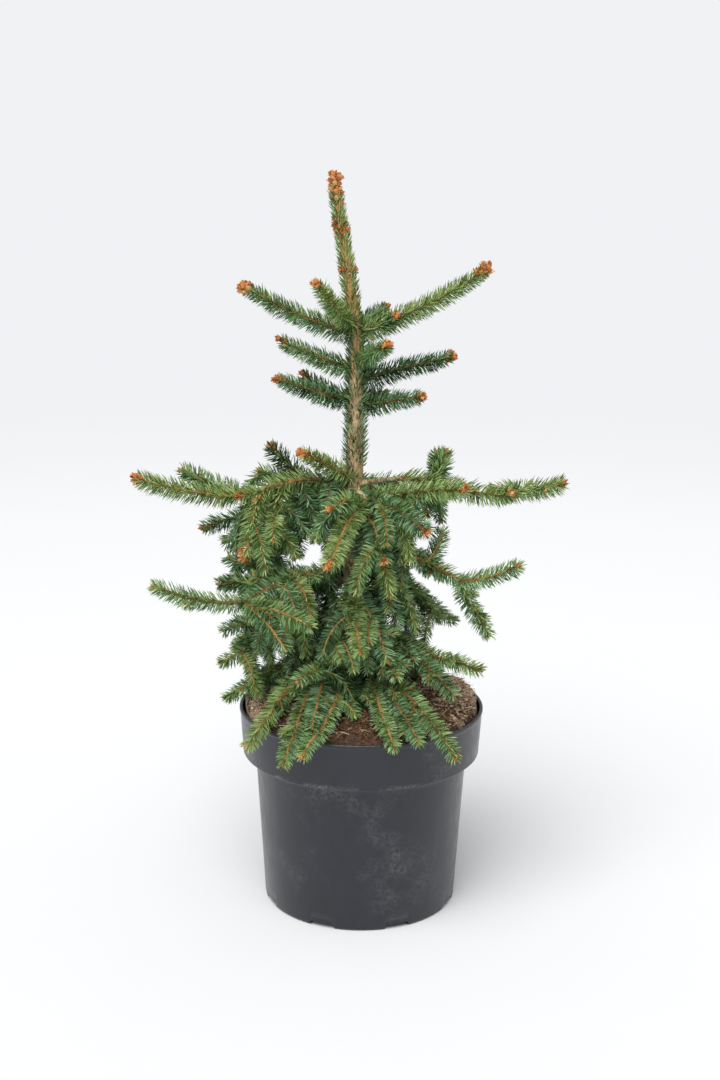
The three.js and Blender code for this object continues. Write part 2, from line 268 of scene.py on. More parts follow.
def heightOn(tree):
    return addNode(tree, "SeparateXYZ", Vector=placeOn(tree)).outputs[2]


def noiseOn(tree, place3d, scale, detail, roughness=0.5):
    given = {"Vector": place3d, "Scale": scale, "Detail": detail, "Roughness": roughness}
    return addNode(tree, "TexNoise", **given).outputs[0]


def makeGroup(name, inputs, outputs):
    tree = bpy.data.node_groups.new(name, "ShaderNodeTree")
    for label, value in inputs.items():
        kind = "Color" if isinstance(value, tuple) else "Float"
        socket = tree.interface.new_socket(label, in_out="INPUT", socket_type="NodeSocket" + kind)
        socket.default_value = value
    for label in outputs:
        kind = "Color" if label == "Color" else "Float"
        tree.interface.new_socket(label, in_out="OUTPUT", socket_type="NodeSocket" + kind)
    return tree, tree.nodes.new("NodeGroupInput").outputs, tree.nodes.new("NodeGroupOutput").inputs


def place(tree, group, **values):
    node = tree.nodes.new("ShaderNodeGroup")
    node.node_tree = group
    for key, value in values.items():
        plug(tree, value, node.inputs[key])
    return node.outputs


driftShape = {"cloudShare": 0.65, "bitShare": 0.6, "fade": (0.3, 0.95), "scramble": 7.31, "oddDepth": 0.75}
grainShape = {"fineShare": 0.6, "broadShare": 0.4, "broader": 0.17, "fade": (0.35, 0.65)}
dustShape = {"patchRough": 0.65, "patchFade": (0.5, 0.78), "speckFiner": 22.0, "speckFade": (0.3, 0.65)}


def makeToneDrift(s):
    # two colours that drift over the surface, with a third on some of the loose bits of a joined piece
    grey = (0.1, 0.1, 0.1, 1)
    tree, given, out = makeGroup(
        "toneDrift", {"Light": grey, "Dark": grey, "Odd": grey, "Scale": 40.0, "OddShare": 0.0}, ["Color"])
    cloud = noiseOn(tree, placeOn(tree), given["Scale"], 3.0)
    bit = addNode(tree, "NewGeometry").outputs["Random Per Island"]
    drift = mathNode(tree, "ADD", times(tree, cloud, s["cloudShare"]), times(tree, bit, s["bitShare"]))
    colour = mixColor(tree, softStep(tree, drift, *s["fade"]), given["Dark"], given["Light"])
    scrambled = mathNode(tree, "FRACT", times(tree, bit, s["scramble"]))
    odd = times(tree, mathNode(tree, "LESS_THAN", scrambled, given["OddShare"]), s["oddDepth"])
    plug(tree, mixColor(tree, odd, colour, given["Odd"]), out["Color"])
    return tree


def makeGrain(s):
    # fine grain and larger lumps, stretched along the height
    tree, given, out = makeGroup(
        "surfaceGrain", {"Scale": 200.0, "Stretch": 1.0, "RoughLow": 0.4, "RoughHigh": 0.6},
        ["Height", "Roughness", "Mask"])
    squash = addNode(tree, "CombineXYZ", X=1.0, Y=1.0, Z=given["Stretch"]).outputs[0]
    laid = addNode(tree, "VectorMath", {"operation": "MULTIPLY"}, Vector=placeOn(tree))
    plug(tree, squash, laid.inputs[1])
    fine = noiseOn(tree, laid.outputs[0], given["Scale"], 4.0)
    broad = noiseOn(tree, laid.outputs[0], times(tree, given["Scale"], s["broader"]), 2.0)
    height = mathNode(tree, "ADD", times(tree, fine, s["fineShare"]), times(tree, broad, s["broadShare"]))
    mask = softStep(tree, height, *s["fade"])
    plug(tree, height, out["Height"])
    plug(tree, mask, out["Mask"])
    plug(tree, softStep(tree, mask, 0.0, 1.0, given["RoughLow"], given["RoughHigh"]), out["Roughness"])
    return tree


def makeDust(s):
    # pale dust, most on what faces up, in drifting patches
    tree, given, out = makeGroup("settledDust", {"Scale": 18.0, "Amount": 0.3, "Upward": 0.5}, ["Mask"])
    place3d = placeOn(tree)
    facing = addNode(tree, "SeparateXYZ", Vector=addNode(tree, "NewGeometry").outputs["Normal"]).outputs[2]
    patches = noiseOn(tree, place3d, given["Scale"], 6.0, s["patchRough"])
    specks = noiseOn(tree, place3d, times(tree, given["Scale"], s["speckFiner"]), 2.0)
    lying = times(tree, mathNode(tree, "MAXIMUM", facing, 0.0), given["Upward"])
    amount = times(tree, softStep(tree, patches, *s["patchFade"]), given["Amount"])
    spotted = mathNode(tree, "MULTIPLY", mathNode(tree, "ADD", amount, lying),
                       softStep(tree, specks, *s["speckFade"]), clamp=True)
    plug(tree, spotted, out["Mask"])
    return tree


toneDrift, surfaceGrain, settledDust = makeToneDrift(driftShape), makeGrain(grainShape), makeDust(dustShape)


def grainyMaterial(name, look):
    # a material with its grain, roughness, shine and bump (strength, metres), still without a colour
    material = bpy.data.materials.new(name)
    material.use_nodes = True
    tree = material.node_tree
    shader = tree.nodes["Principled BSDF"].inputs
    grain = place(tree, surfaceGrain, Scale=look["grain"], Stretch=look.get("stretch", 1.0),
                  RoughLow=look["rough"][0], RoughHigh=look["rough"][1])
    plug(tree, grain["Roughness"], shader["Roughness"])
    shader["Specular IOR Level"].default_value = look.get("shine", 0.5)
    if "bump" in look:
        strength, distance = look["bump"]
        bump = addNode(tree, "Bump", Strength=strength, Distance=distance, Height=grain["Height"])
        plug(tree, bump.outputs[0], shader["Normal"])
    return material, tree, shader, grain


def drifting(tree, look):
    odd = {"Odd": look["odd"], "OddShare": look["oddShare"]} if "odd" in look else {}
    drift = place(tree, toneDrift, Light=look["light"], Dark=look["dark"], Scale=look["scale"], **odd)
    return drift["Color"]


def driftMaterial(name, look):
    # a small natural thing: drifting colours, and a darker one painted as shade in the pits of its grain if
    # it has any
    material, tree, shader, grain = grainyMaterial(name, look)
    colour = drifting(tree, look)
    if "pitShade" in look:
        colour = mixColor(tree, grain["Mask"], look["pitShade"], colour)
    plug(tree, colour, shader["Base Color"])
    return material


def driftMaterials(looks, finish):
    return [driftMaterial(name, {**finish, **look}) for name, look in looks.items()]


# the pale odd colour on scattered needles is partly their own paler tone and partly painted glints
needleTones = {
    "needles_fresh": {"light": (0.45, 0.6, 0.205), "dark": (0.066, 0.125, 0.01), "odd": (0.58, 0.66, 0.31)},
    "needles_mid": {"light": (0.31, 0.52, 0.185), "dark": (0.033, 0.079, 0.008), "odd": (0.45, 0.62, 0.31)},
    "needles_blue": {"light": (0.235, 0.45, 0.205), "dark": (0.023, 0.061, 0.01), "odd": (0.42, 0.61, 0.41)},
    "needles_deep": {"light": (0.09, 0.2, 0.062), "dark": (0.008, 0.026, 0.003), "odd": (0.17, 0.3, 0.13)},
}
needleFinish = {"scale": 55.0, "oddShare": 0.12, "grain": 900.0, "rough": (0.38, 0.54), "shine": 0.4}
woodTones = {
    "youngTwig": {"light": (0.5, 0.255, 0.075), "dark": (0.23, 0.105, 0.03), "scale": 260.0,
                  "grain": 900.0, "rough": (0.55, 0.75), "bump": (0.6, 0.0003)},
    # the old twig colour dresses the twigs inside the crown: older wood and painted shade
    "oldAndShadedTwig": {"light": (0.25, 0.15, 0.082), "dark": (0.095, 0.052, 0.028), "scale": 220.0,
                "grain": 700.0, "rough": (0.65, 0.85), "bump": (0.6, 0.0004)},
    "budScale": {"light": (0.76, 0.3, 0.07), "dark": (0.26, 0.07, 0.014), "scale": 300.0,
                 "odd": (0.86, 0.52, 0.24), "oddShare": 0.18,
                 "grain": 1100.0, "rough": (0.4, 0.6), "bump": (0.6, 0.0002)},
}
barkTones = {
    "light": (0.98, 0.76, 0.46), "dark": (0.46, 0.3, 0.15), "pitShade": (0.19, 0.125, 0.064),
    "scale": 150.0, "grain": 500.0, "stretch": 0.42, "rough": (0.72, 0.92), "bump": (0.8, 0.0006),
    "newer": {"light": (0.8, 0.48, 0.17), "dark": (0.36, 0.17, 0.05), "scale": 330.0},
    "newerFrom": (0.5, 0.64),   # metres up
}


def barkMaterial(look):
    material, tree, shader, grain = grainyMaterial("trunk_bark", look)
    # painted shade: the pits of the bark's grain take the darker pit colour
    pitShadedStreaks = mixColor(tree, grain["Mask"], look["pitShade"], drifting(tree, look))
    # the newer wood higher up is more orange
    newer = softStep(tree, heightOn(tree), *look["newerFrom"])
    plug(tree, mixColor(tree, newer, pitShadedStreaks, drifting(tree, look["newer"])), shader["Base Color"])
    return material


needleMaterials = driftMaterials(needleTones, needleFinish)
youngTwig, oldAndShadedTwig, budScale = driftMaterials(woodTones, {})
trunkBark = barkMaterial(barkTones)
print("materials made")

# The pot: a thin round shell turned about the trunk's foot, in millimetres. The corners near an edge are
# each given as how far out, how far up and how rounded.
potSizes = {
    "height": 205.5, "rimRadius": 124.5, "bandFoot": 157.5, "bandFootRadius": 121.0,
    "bodyRadius": 107.9, "baseRadius": 98.6, "wall": 1.8, "lip": 3.4,
    "padRadius": 52.0, "channelDepth": 6.0, "footWidth": 8.0, "footTaper": 2.5, "footSlope": 3.0,
    "padEdge": ((0.0, 0.0, 1.5), (4.0, 6.0, 1.5)),
    "shoulderEdge": ((0.0, -7.5, 3.0), (2.6, -2.2, 2.5)),
    "bandEdge": ((-2.0, 0.0, 1.6), (0.0, 0.6, 0.7), (0.1, 3.0, 1.0)),
    "rimEdge": ((-0.8, -5.0, 1.2), (0.0, -3.6, 1.0), (0.0, 0.0, 1.5)),
    "mouthEdge": ((0.0, 0.0, 1.5), (0.0, -4.0, 1.0)), "innerShoulder": 5.0,
    "notches": 8, "notchWidth": 26.0, "notchHeight": 4.5, "notchSide": 0.003,
    "facets": 160, "longest": 14.0,
}
potFinish = {
    "skin": ((0.007, 0.008, 0.014), (0.012, 0.013, 0.021)), "dusty": (0.215, 0.215, 0.225),
    "grain": 90.0, "stretch": 0.6, "rough": (0.34, 0.46), "shine": 0.4, "bump": (0.25, 0.0004),
    "coat": 0.4, "coatRough": 0.3, "wornFull": 0.6, "wornRough": 0.8,
    "dust": {"Scale": 13.0, "Amount": 0.36, "Upward": 0.3},
    # rubs: pale wear and a painted highlight along the band's foot
    "rubsAndHighlight": {"Scale": 24.0, "Amount": 1.6, "Upward": 0.0}, "rubAndHighlightReach": (0.0005, 0.006),   # metres
}


def potMaterial(look):
    material, tree, shader, grain = grainyMaterial("pot_plastic", look)
    skin = mixColor(tree, grain["Mask"], *look["skin"])
    dust = place(tree, settledDust, **look["dust"])["Mask"]
    # pale rubbing and a painted highlight along the foot of the band
    fromEdge = mathNode(tree, "SUBTRACT", heightOn(tree), potSizes["bandFoot"] * mm)
    byEdge = softStep(tree, mathNode(tree, "ABSOLUTE", fromEdge), *look["rubAndHighlightReach"], 1.0, 0.0)
    rubsAndHighlight = place(tree, settledDust, **look["rubsAndHighlight"])["Mask"]
    dustWearAndHighlight = mathNode(tree, "MAXIMUM", dust, times(tree, byEdge, rubsAndHighlight))
    plug(tree, mixColor(tree, dustWearAndHighlight, skin, look["dusty"]), shader["Base Color"])
    rough = softStep(tree, dustWearAndHighlight, 0.0, look["wornFull"], grain["Roughness"], look["wornRough"])
    plug(tree, rough, shader["Roughness"])
    shader["Coat Weight"].default_value = look["coat"]
    shader["Coat Roughness"].default_value = look["coatRough"]
    return material


def filleted(corners, steps=4):
    # each corner is (radius, height, rounding): a rounding of 0 stays sharp
    outline = []
    for k, (x, z, rounding) in enumerate(corners):
        here = np.array((x, z))
        if rounding == 0:
            outline.append(here)
            continue
        legs = [np.array(corners[near][:2]) - here for near in (k - 1, k + 1)]
        back, ahead = (unit(leg) * min(rounding, 0.45 * np.linalg.norm(leg)) for leg in legs)
        for t in np.linspace(0, 1, steps + 1):
            outline.append(here + (1 - t) ** 2 * back + t ** 2 * ahead)
    return np.array(outline)


def subdivided(outline, longest):
    # breaks long straight stretches so that the shading stays even
    full = [outline[0]]
    for start, end in zip(outline[:-1], outline[1:]):
        pieces = max(1, int(math.ceil(np.linalg.norm(end - start) / longest)))
        full += [start + (end - start) * (k + 1) / pieces for k in range(pieces)]
    return np.array(full)


def welded(piece):
    # joins doubled points and drops faces of no size, as on the axis of a turned piece
    work = bmesh.new()
    work.from_mesh(piece.data)
    bmesh.ops.remove_doubles(work, verts=work.verts, dist=1e-6)
    bmesh.ops.dissolve_degenerate(work, edges=work.edges, dist=1e-7)
    bmesh.ops.recalc_face_normals(work, faces=work.faces)
    work.to_mesh(piece.data)
    work.free()


def potOutline(s, footInner):
    # from the middle of the underside, up the outside, over the rim and down inside
    body, base, bandFoot, wall = s["bodyRadius"], s["baseRadius"], s["bandFoot"], s["wall"]
    channel, inside = s["channelDepth"], s["innerShoulder"]

    def edge(key, radius, height):
        return [(radius + out, height + up, rounding) for out, up, rounding in s[key]]

    corners = [(0.0, 0.0, 0), *edge("padEdge", s["padRadius"], 0.0),
               (footInner - s["footSlope"], channel, 1.5), (footInner, 0.0, 1.0), (base, 0.0, 3.2),
               *edge("shoulderEdge", body, bandFoot), *edge("bandEdge", s["bandFootRadius"], bandFoot),
               *edge("rimEdge", s["rimRadius"], s["height"]),
               *edge("mouthEdge", s["rimRadius"] - s["lip"], s["height"]),
               (s["bandFootRadius"] - wall, bandFoot + inside, 3.0), (body - wall, bandFoot - inside, 3.0),
               (base - wall, channel + wall, 2.0), (0.0, channel + wall, 0)]
    return subdivided(filleted(corners), s["longest"])


def makePot(s):
    footInner = s["baseRadius"] - s["footTaper"] - s["footWidth"]
    outline = potOutline(s, footInner)
    angles = list(turnsOf(s["facets"]))
    halfNotch = s["notchWidth"] / 2 / s["baseRadius"]
    middles = [(k + 0.5) * fullTurn / s["notches"] for k in range(s["notches"])]
    for middle in middles:
        for edge in (middle - halfNotch, middle + halfNotch):
            angles += [edge - s["notchSide"], edge + s["notchSide"]]
    angles = np.array(sorted(angles))
    gap = np.min([abs((angles - middle + math.pi) % fullTurn - math.pi) for middle in middles], axis=0)
    rows, spokes = len(outline), len(angles)
    radius, height = outline[:, :1], outline[:, 1:]
    points = np.stack(np.broadcast_arrays(radius * np.cos(angles), radius * np.sin(angles), height), axis=-1)
    isFoot = (radius > footInner - s["footSlope"]) & (height < s["notchHeight"])
    isFoot &= np.arange(rows)[:, None] < rows // 2
    points[..., 2][isFoot & (gap < halfNotch)] = s["notchHeight"]
    row, spoke = np.meshgrid(np.arange(rows - 1), np.arange(spokes), indexing="ij")
    a, b = row * spokes + spoke, row * spokes + (spoke + 1) % spokes
    faces = np.stack([a, b, b + spokes, a + spokes], axis=-1).reshape(-1, 4)
    piece = meshPiece("potShell", points.reshape(-1, 3) * mm, faces, [potMaterial(potFinish)])
    welded(piece)
    seat(piece, "pot_plastic", "pot")


makePot(potSizes)
print("pot turned")

# Coir on the compost, in millimetres: a lumpy bed under loose fibres and crumbs.
coirSizes = {
    "edge": 203.0, "crown": 27.0, "rings": 34, "spokes": 110,
    "lump": 2.6, "lumpWide": 17.0, "lumpFine": 6.0, "fineShare": 0.6,
    "clumps": [(186.0, 111.0, 17.0), (12.0, 98.0, 8.0), (262.0, 96.0, 3.0)],   # bearing, radius, height
    "clumpWide": 22.0,
    # dry places: paler, drier coir with painted light; away from them the coir is darker, with painted shade
    # under the crown
    "dryLitPlaces": [(188.0, 112.0), (356.0, 106.0)], "dryLitWide": 58.0,            # bearing, radius
    "dryLitDrift": 21.0, "dryLitUneven": 0.8, "dryLitBetween": 0.3,
    "dryLitOdds": (0.86, 0.12, 0.02), "dampShadedOdds": (0.06, 0.5, 0.44),             # of tan, rust and dark bits
    "rimRise": 4, "seed": 11,
    "fibres": 2700, "fibreSpread": (0.02, 0.985), "fibreLength": (8.0, 20.0), "fibreWidth": (0.45, 0.95),
    "fibreTaper": (0.5, 1.0, 1.1, 0.9, 0.4), "fibreLift": 0.28, "fibreCurl": 0.7, "fibreSag": 3.0,
    "fibreHigh": (-0.2, 1.4), "fibreAtRim": 0.8, "fibreMargin": 0.8,
    "crumbs": 5600, "crumbSpread": (0.02, 1.0), "crumbMargin": 1.5, "crumbSize": (1.4, 3.8),
    "crumbStretch": ((0.9, 1.9), (0.6, 1.0), (0.5, 0.9)), "crumbUneven": (0.8, 1.2),
    "crumbSpin": 6.28, "crumbTilt": 0.4, "crumbHigh": 0.35, "crumbAtRim": 0.5,
}
coirTones = {
    "coir_tan": {"light": (0.82, 0.63, 0.45), "dark": (0.44, 0.29, 0.18), "odd": (0.92, 0.78, 0.6)},
    "coir_rust": {"light": (0.34, 0.175, 0.086), "dark": (0.13, 0.056, 0.027), "odd": (0.48, 0.31, 0.18)},
    "coir_dark": {"light": (0.12, 0.066, 0.038), "dark": (0.04, 0.022, 0.014), "odd": (0.22, 0.14, 0.08)},
}
coirFinish = {"scale": 90.0, "oddShare": 0.15, "grain": 800.0, "rough": (0.75, 0.95), "shine": 0.25,
              "bump": (0.6, 0.0003)}
bedTones = {
    "coir_bed_damp_shaded": {"light": (0.21, 0.11, 0.06), "dark": (0.044, 0.02, 0.011),
                      "pitShade": (0.027, 0.014, 0.009)},
    "coir_bed_dry_lit": {"light": (0.7, 0.51, 0.35), "dark": (0.3, 0.195, 0.12),
                     "pitShade": (0.17, 0.105, 0.064)},
}
bedFinish = {"scale": 380.0, "grain": 520.0, "rough": (0.8, 1.0), "bump": (1.0, 0.0025)}
compostFinish = {"low": (0.012, 0.008, 0.005), "high": (0.05, 0.03, 0.018), "grain": 260.0,
                 "rough": (0.85, 1.0), "bump": (0.8, 0.001)}


def onClump(x, y, clump, wide):
    # 1 on the top of a clump, falling off to 0 around it
    turn = math.radians(clump[0])
    away = math.hypot(x - clump[1] * math.cos(turn), y - clump[1] * math.sin(turn))
    return math.exp(-(away / wide) ** 2)


def coirHeight(x, y, s, rimRadius):
    # height of the coir's surface over a point of the pot
    share = min(1.0, math.hypot(x, y) / rimRadius)
    height = s["edge"] + s["crown"] * math.sqrt(1 - share * share)
    height += sum(clump[2] * onClump(x, y, clump, s["clumpWide"]) for clump in s["clumps"])
    broad = noise.noise(Vector((x, y, 3.0)) / s["lumpWide"])
    fine = noise.noise(Vector((x, y, 9.0)) / s["lumpFine"])
    return height + s["lump"] * (broad + s["fineShare"] * fine)


def drynessAndLight(x, y, s):
    # the coir at the sides is drier and paler than the rest, in drifting patches, with painted light on
    # them; the darker middle under the crown is painted shade
    near = max(onClump(x, y, spot, s["dryLitWide"]) for spot in s["dryLitPlaces"])
    drift = noise.noise(Vector((x, y, 15.0)) / s["dryLitDrift"]) * s["dryLitUneven"]
    return min(1.0, max(0.0, near + drift * (s["dryLitBetween"] + near)))


def coirKind(x, y, s, rng):
    # more tan bits where the coir is drier and lit, more dark ones where it holds painted shade
    dryAndLit = drynessAndLight(x, y, s)
    return rng.choice(3, p=(1 - dryAndLit) * np.array(s["dampShadedOdds"]) + dryAndLit * np.array(s["dryLitOdds"]))


def scattered(radius, shares, rng):
    # a random spot on a round bed and its distance from the middle
    angle, reach = rng.uniform(0, fullTurn), radius * math.sqrt(rng.uniform(*shares))
    return reach * math.cos(angle), reach * math.sin(angle), reach


def makeCoirBed(s, rimRadius, base, rng):
    spokes = s["spokes"]
    spots = [(0.0, 0.0)]
    for share in np.linspace(0, 1, s["rings"] + 1)[1:]:
        for angle in turnsOf(spokes):
            spots.append((rimRadius * share * math.cos(angle), rimRadius * share * math.sin(angle)))
    points = [(x, y, coirHeight(x, y, s, rimRadius)) for x, y in spots]
    points += [(x, y, base) for x, y in spots[-spokes:]] + [(0.0, 0.0, base)]
    k = np.arange(spokes)
    after = (k + 1) % spokes
    faces = [columns(np.zeros_like(k), 1 + k, 1 + after)]
    for row in range(s["rings"]):
        a, b = 1 + row * spokes, 1 + (row + 1) * spokes
        faces += [columns(a + k, b + k, b + after), columns(a + k, b + after, a + after)]
    under = 1 + s["rings"] * spokes
    faces.append(columns(np.full_like(k, len(points) - 1), under + after, under + k))
    points, faces = np.array(points), np.concatenate(faces)
    # the bed is paler near the dry places, and darker with painted shade elsewhere
    kinds = [int(rng.uniform() < drynessAndLight(x, y, s)) for x, y, _ in points[faces].mean(axis=1)]
    bed = meshPiece("coirBed", points * mm, faces, driftMaterials(bedTones, bedFinish), kinds)
    seat(bed, "coir_mulch", "mulch")


def makeLooseCoir(s, rimRadius, rng):
    loose = Joiner()
    steps = np.linspace(-0.5, 0.5, len(s["fibreTaper"]))
    for _ in range(s["fibres"]):
        x, y, reach = scattered(rimRadius, s["fibreSpread"], rng)
        bearing, lift = rng.uniform(0, fullTurn), rng.normal(0, s["fibreLift"])
        length, curl = rng.uniform(*s["fibreLength"]), rng.normal(0, s["fibreCurl"])
        turn = bearing + curl * steps
        height = coirHeight(x, y, s, rimRadius) + rng.uniform(*s["fibreHigh"])
        height += s["fibreAtRim"] * (reach / rimRadius) ** s["rimRise"]
        along = length * steps
        line = columns(x + along * np.cos(turn), y + along * np.sin(turn),
                       height + along * lift - s["fibreSag"] * steps ** 2)
        radius = np.hypot(line[:, 0], line[:, 1])
        line[:, :2] *= np.minimum(1.0, (rimRadius - s["fibreMargin"]) / radius)[:, None]
        thick = rng.uniform(*s["fibreWidth"]) / 2 * np.array(s["fibreTaper"])
        loose.add(*tubeMesh(line, thick, 3), kind=coirKind(x, y, s, rng))

    chip = np.array([(1, 0, 0), (0, 1, 0), (-1, 0, 0), (0, -1, 0), (0, 0, 1), (0, 0, -1)], float)
    chipFaces = np.array([(k, (k + 1) % 4, 4) for k in range(4)] + [((k + 1) % 4, k, 5) for k in range(4)])
    for _ in range(s["crumbs"]):
        x, y, reach = scattered(rimRadius - s["crumbMargin"], s["crumbSpread"], rng)
        size = rng.uniform(*s["crumbSize"]) / 2
        stretch = np.array([rng.uniform(*span) for span in s["crumbStretch"]])
        spin = Matrix.Rotation(rng.uniform(0, s["crumbSpin"]), 3, "Z")
        spin = np.array(spin @ Matrix.Rotation(rng.normal(0, s["crumbTilt"]), 3, "X"))
        body = (chip * stretch * rng.uniform(*s["crumbUneven"], (6, 1)) * size) @ spin.T
        rise = s["crumbHigh"] + s["crumbAtRim"] * (reach / rimRadius) ** s["rimRise"]
        body += (x, y, coirHeight(x, y, s, rimRadius) + size * rise)
        loose.add(body, chipFaces, kind=coirKind(x, y, s, rng))
    seat(loose.joined("coirFibres", driftMaterials(coirTones, coirFinish), scale=mm), "coir_mulch")


def dressCompost(look):
    # the compost keeps its own mesh and gets a soil material
    material, tree, shader, grain = grainyMaterial("compost_soil", look)
    plug(tree, mixColor(tree, grain["Mask"], look["low"], look["high"]), shader["Base Color"])
    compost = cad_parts["compost"]
    compost.data.materials.clear()
    compost.data.materials.append(material)


def makeCoir(s):
    rng = np.random.default_rng(s["seed"])
    low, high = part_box("mulch")
    rimRadius = (high.x - low.x) / 2 / mm
    makeCoirBed(s, rimRadius, low.z / mm, rng)
    makeLooseCoir(s, rimRadius, rng)


makeCoir(coirSizes)
dressCompost(compostFinish)
print("coir laid")

# The trunk's line and thickness come from its solid: one station at each level of its corners.
barkSizes = {
    "sides": 40, "step": 1.5, "relief": 0.8, "reliefThin": 0.35, "rounding": 60,      # millimetres
    "ridge": (1.9, 5.2), "ridgeShare": 0.65, "plateShare": 0.5,                       # across, along
    "plateLarger": (2.6, 2.6, 1.7), "plateShift": (0.0, 0.0, 20.0),
    "fuller": ((0.2, 0.44, 0.6, 0.72), (0.3, 1.4, 1.2, 0.4)),   # what leaf pegs add, by height in metres
    "tipRound": 12.0, "tipLeast": 0.05,
    "flareHigh": 30.0, "flareDepth": 0.22, "flareLobes": 5, "flareTurn": 0.6,
    "limbSides": 14, "limbStep": 1.6, "limbRelief": 0.28, "limbRidge": (1.5, 2.4), "limbTaper": 0.3,
    "collar": 1.55, "collarWide": 3.5, "limbPerCm": 26, "limbBare": 0.1, "limbBareMost": 0.6,
}


def trunkStations():
    points, _ = nodeShape("trunk")
    centres, radii = [], []
    for level in np.unique(np.round(points[:, 2], 4)):
        ring = points[np.abs(points[:, 2] - level) < 0.1 * mm]
        centres.append(ring.mean(axis=0))
        radii.append(lengths(ring[:, :2] - centres[-1][:2]).max())
    return np.array(centres), np.array(radii)


stationCentres, stationRadii = trunkStations()
stationLevels = stationCentres[:, 2]
trunkHeights = np.arange(stationLevels[0], stationLevels[-1], barkSizes["step"] * mm)
trunkLine = smoothed(between(trunkHeights, stationLevels, stationCentres), barkSizes["rounding"])
trunkGirth = np.interp(trunkHeights, stationLevels, stationRadii)


def trunkPoint(height):
    return between(height, trunkLine[:, 2], trunkLine)


def trunkRadius(height):
    return float(np.interp(height, trunkHeights, trunkGirth))


def outwardFrom(points):
    # level headings away from the trunk
    points = np.atleast_2d(points)
    away = points - trunkPoint(points[:, 2])
    away[:, 2] = 0
    return unit(away + 1e-9)


def barkRelief(points, wide, long, s):
    # long broken ridges over broader plates: noise stretched along the wood
    ridges = points / mm / (wide, wide, long)
    plates = ridges / s["plateLarger"] + s["plateShift"]
    return np.array([s["ridgeShare"] * (1 - 2 * abs(noise.noise(Vector(ridge))))
                     + s["plateShare"] * noise.noise(Vector(plate)) for ridge, plate in zip(ridges, plates)])


def barkedTube(line, radii, sides, ridge, relief, s):
    # a tube whose sides stand in and out as bark does; relief is one number or one a point
    points, faces = tubeMesh(line, radii, sides)
    body = points[:len(line) * sides]
    away = unit(body - np.repeat(line, sides, axis=0))
    points[:len(body)] = body + away * (barkRelief(body, *ridge, s) * relief * mm)[:, None]
    return points, faces


def makeTrunk(s):
    radii = np.tile((trunkGirth + np.interp(trunkHeights, *s["fuller"]) * mm)[:, None], (1, s["sides"]))
    toTip = (trunkHeights[-1] - trunkHeights) / (s["tipRound"] * mm)
    radii *= np.sqrt(np.clip(toTip, s["tipLeast"], 1))[:, None]
    flare = np.clip(1 - (trunkHeights - trunkHeights[0]) / (s["flareHigh"] * mm), 0, 1)[:, None]
    lobes = np.sin(turnsOf(s["sides"]) * s["flareLobes"] + s["flareTurn"])[None, :]
    radii *= 1 + s["flareDepth"] * flare * lobes * flare
    thick = np.repeat(trunkGirth, s["sides"]) / trunkGirth.max()
    relief = s["relief"] * (s["reliefThin"] + (1 - s["reliefThin"]) * thick)
    points, faces = barkedTube(trunkLine, radii, s["sides"], s["ridge"], relief, s)
    points[:s["sides"], 2] = trunkHeights[0]
    seat(meshPiece("trunkWood", points, faces, [trunkBark]), "bark", "trunk")


makeTrunk(barkSizes)
print("trunk barked")


def sprays(*names):
    return [name + "_spray" for name in names]


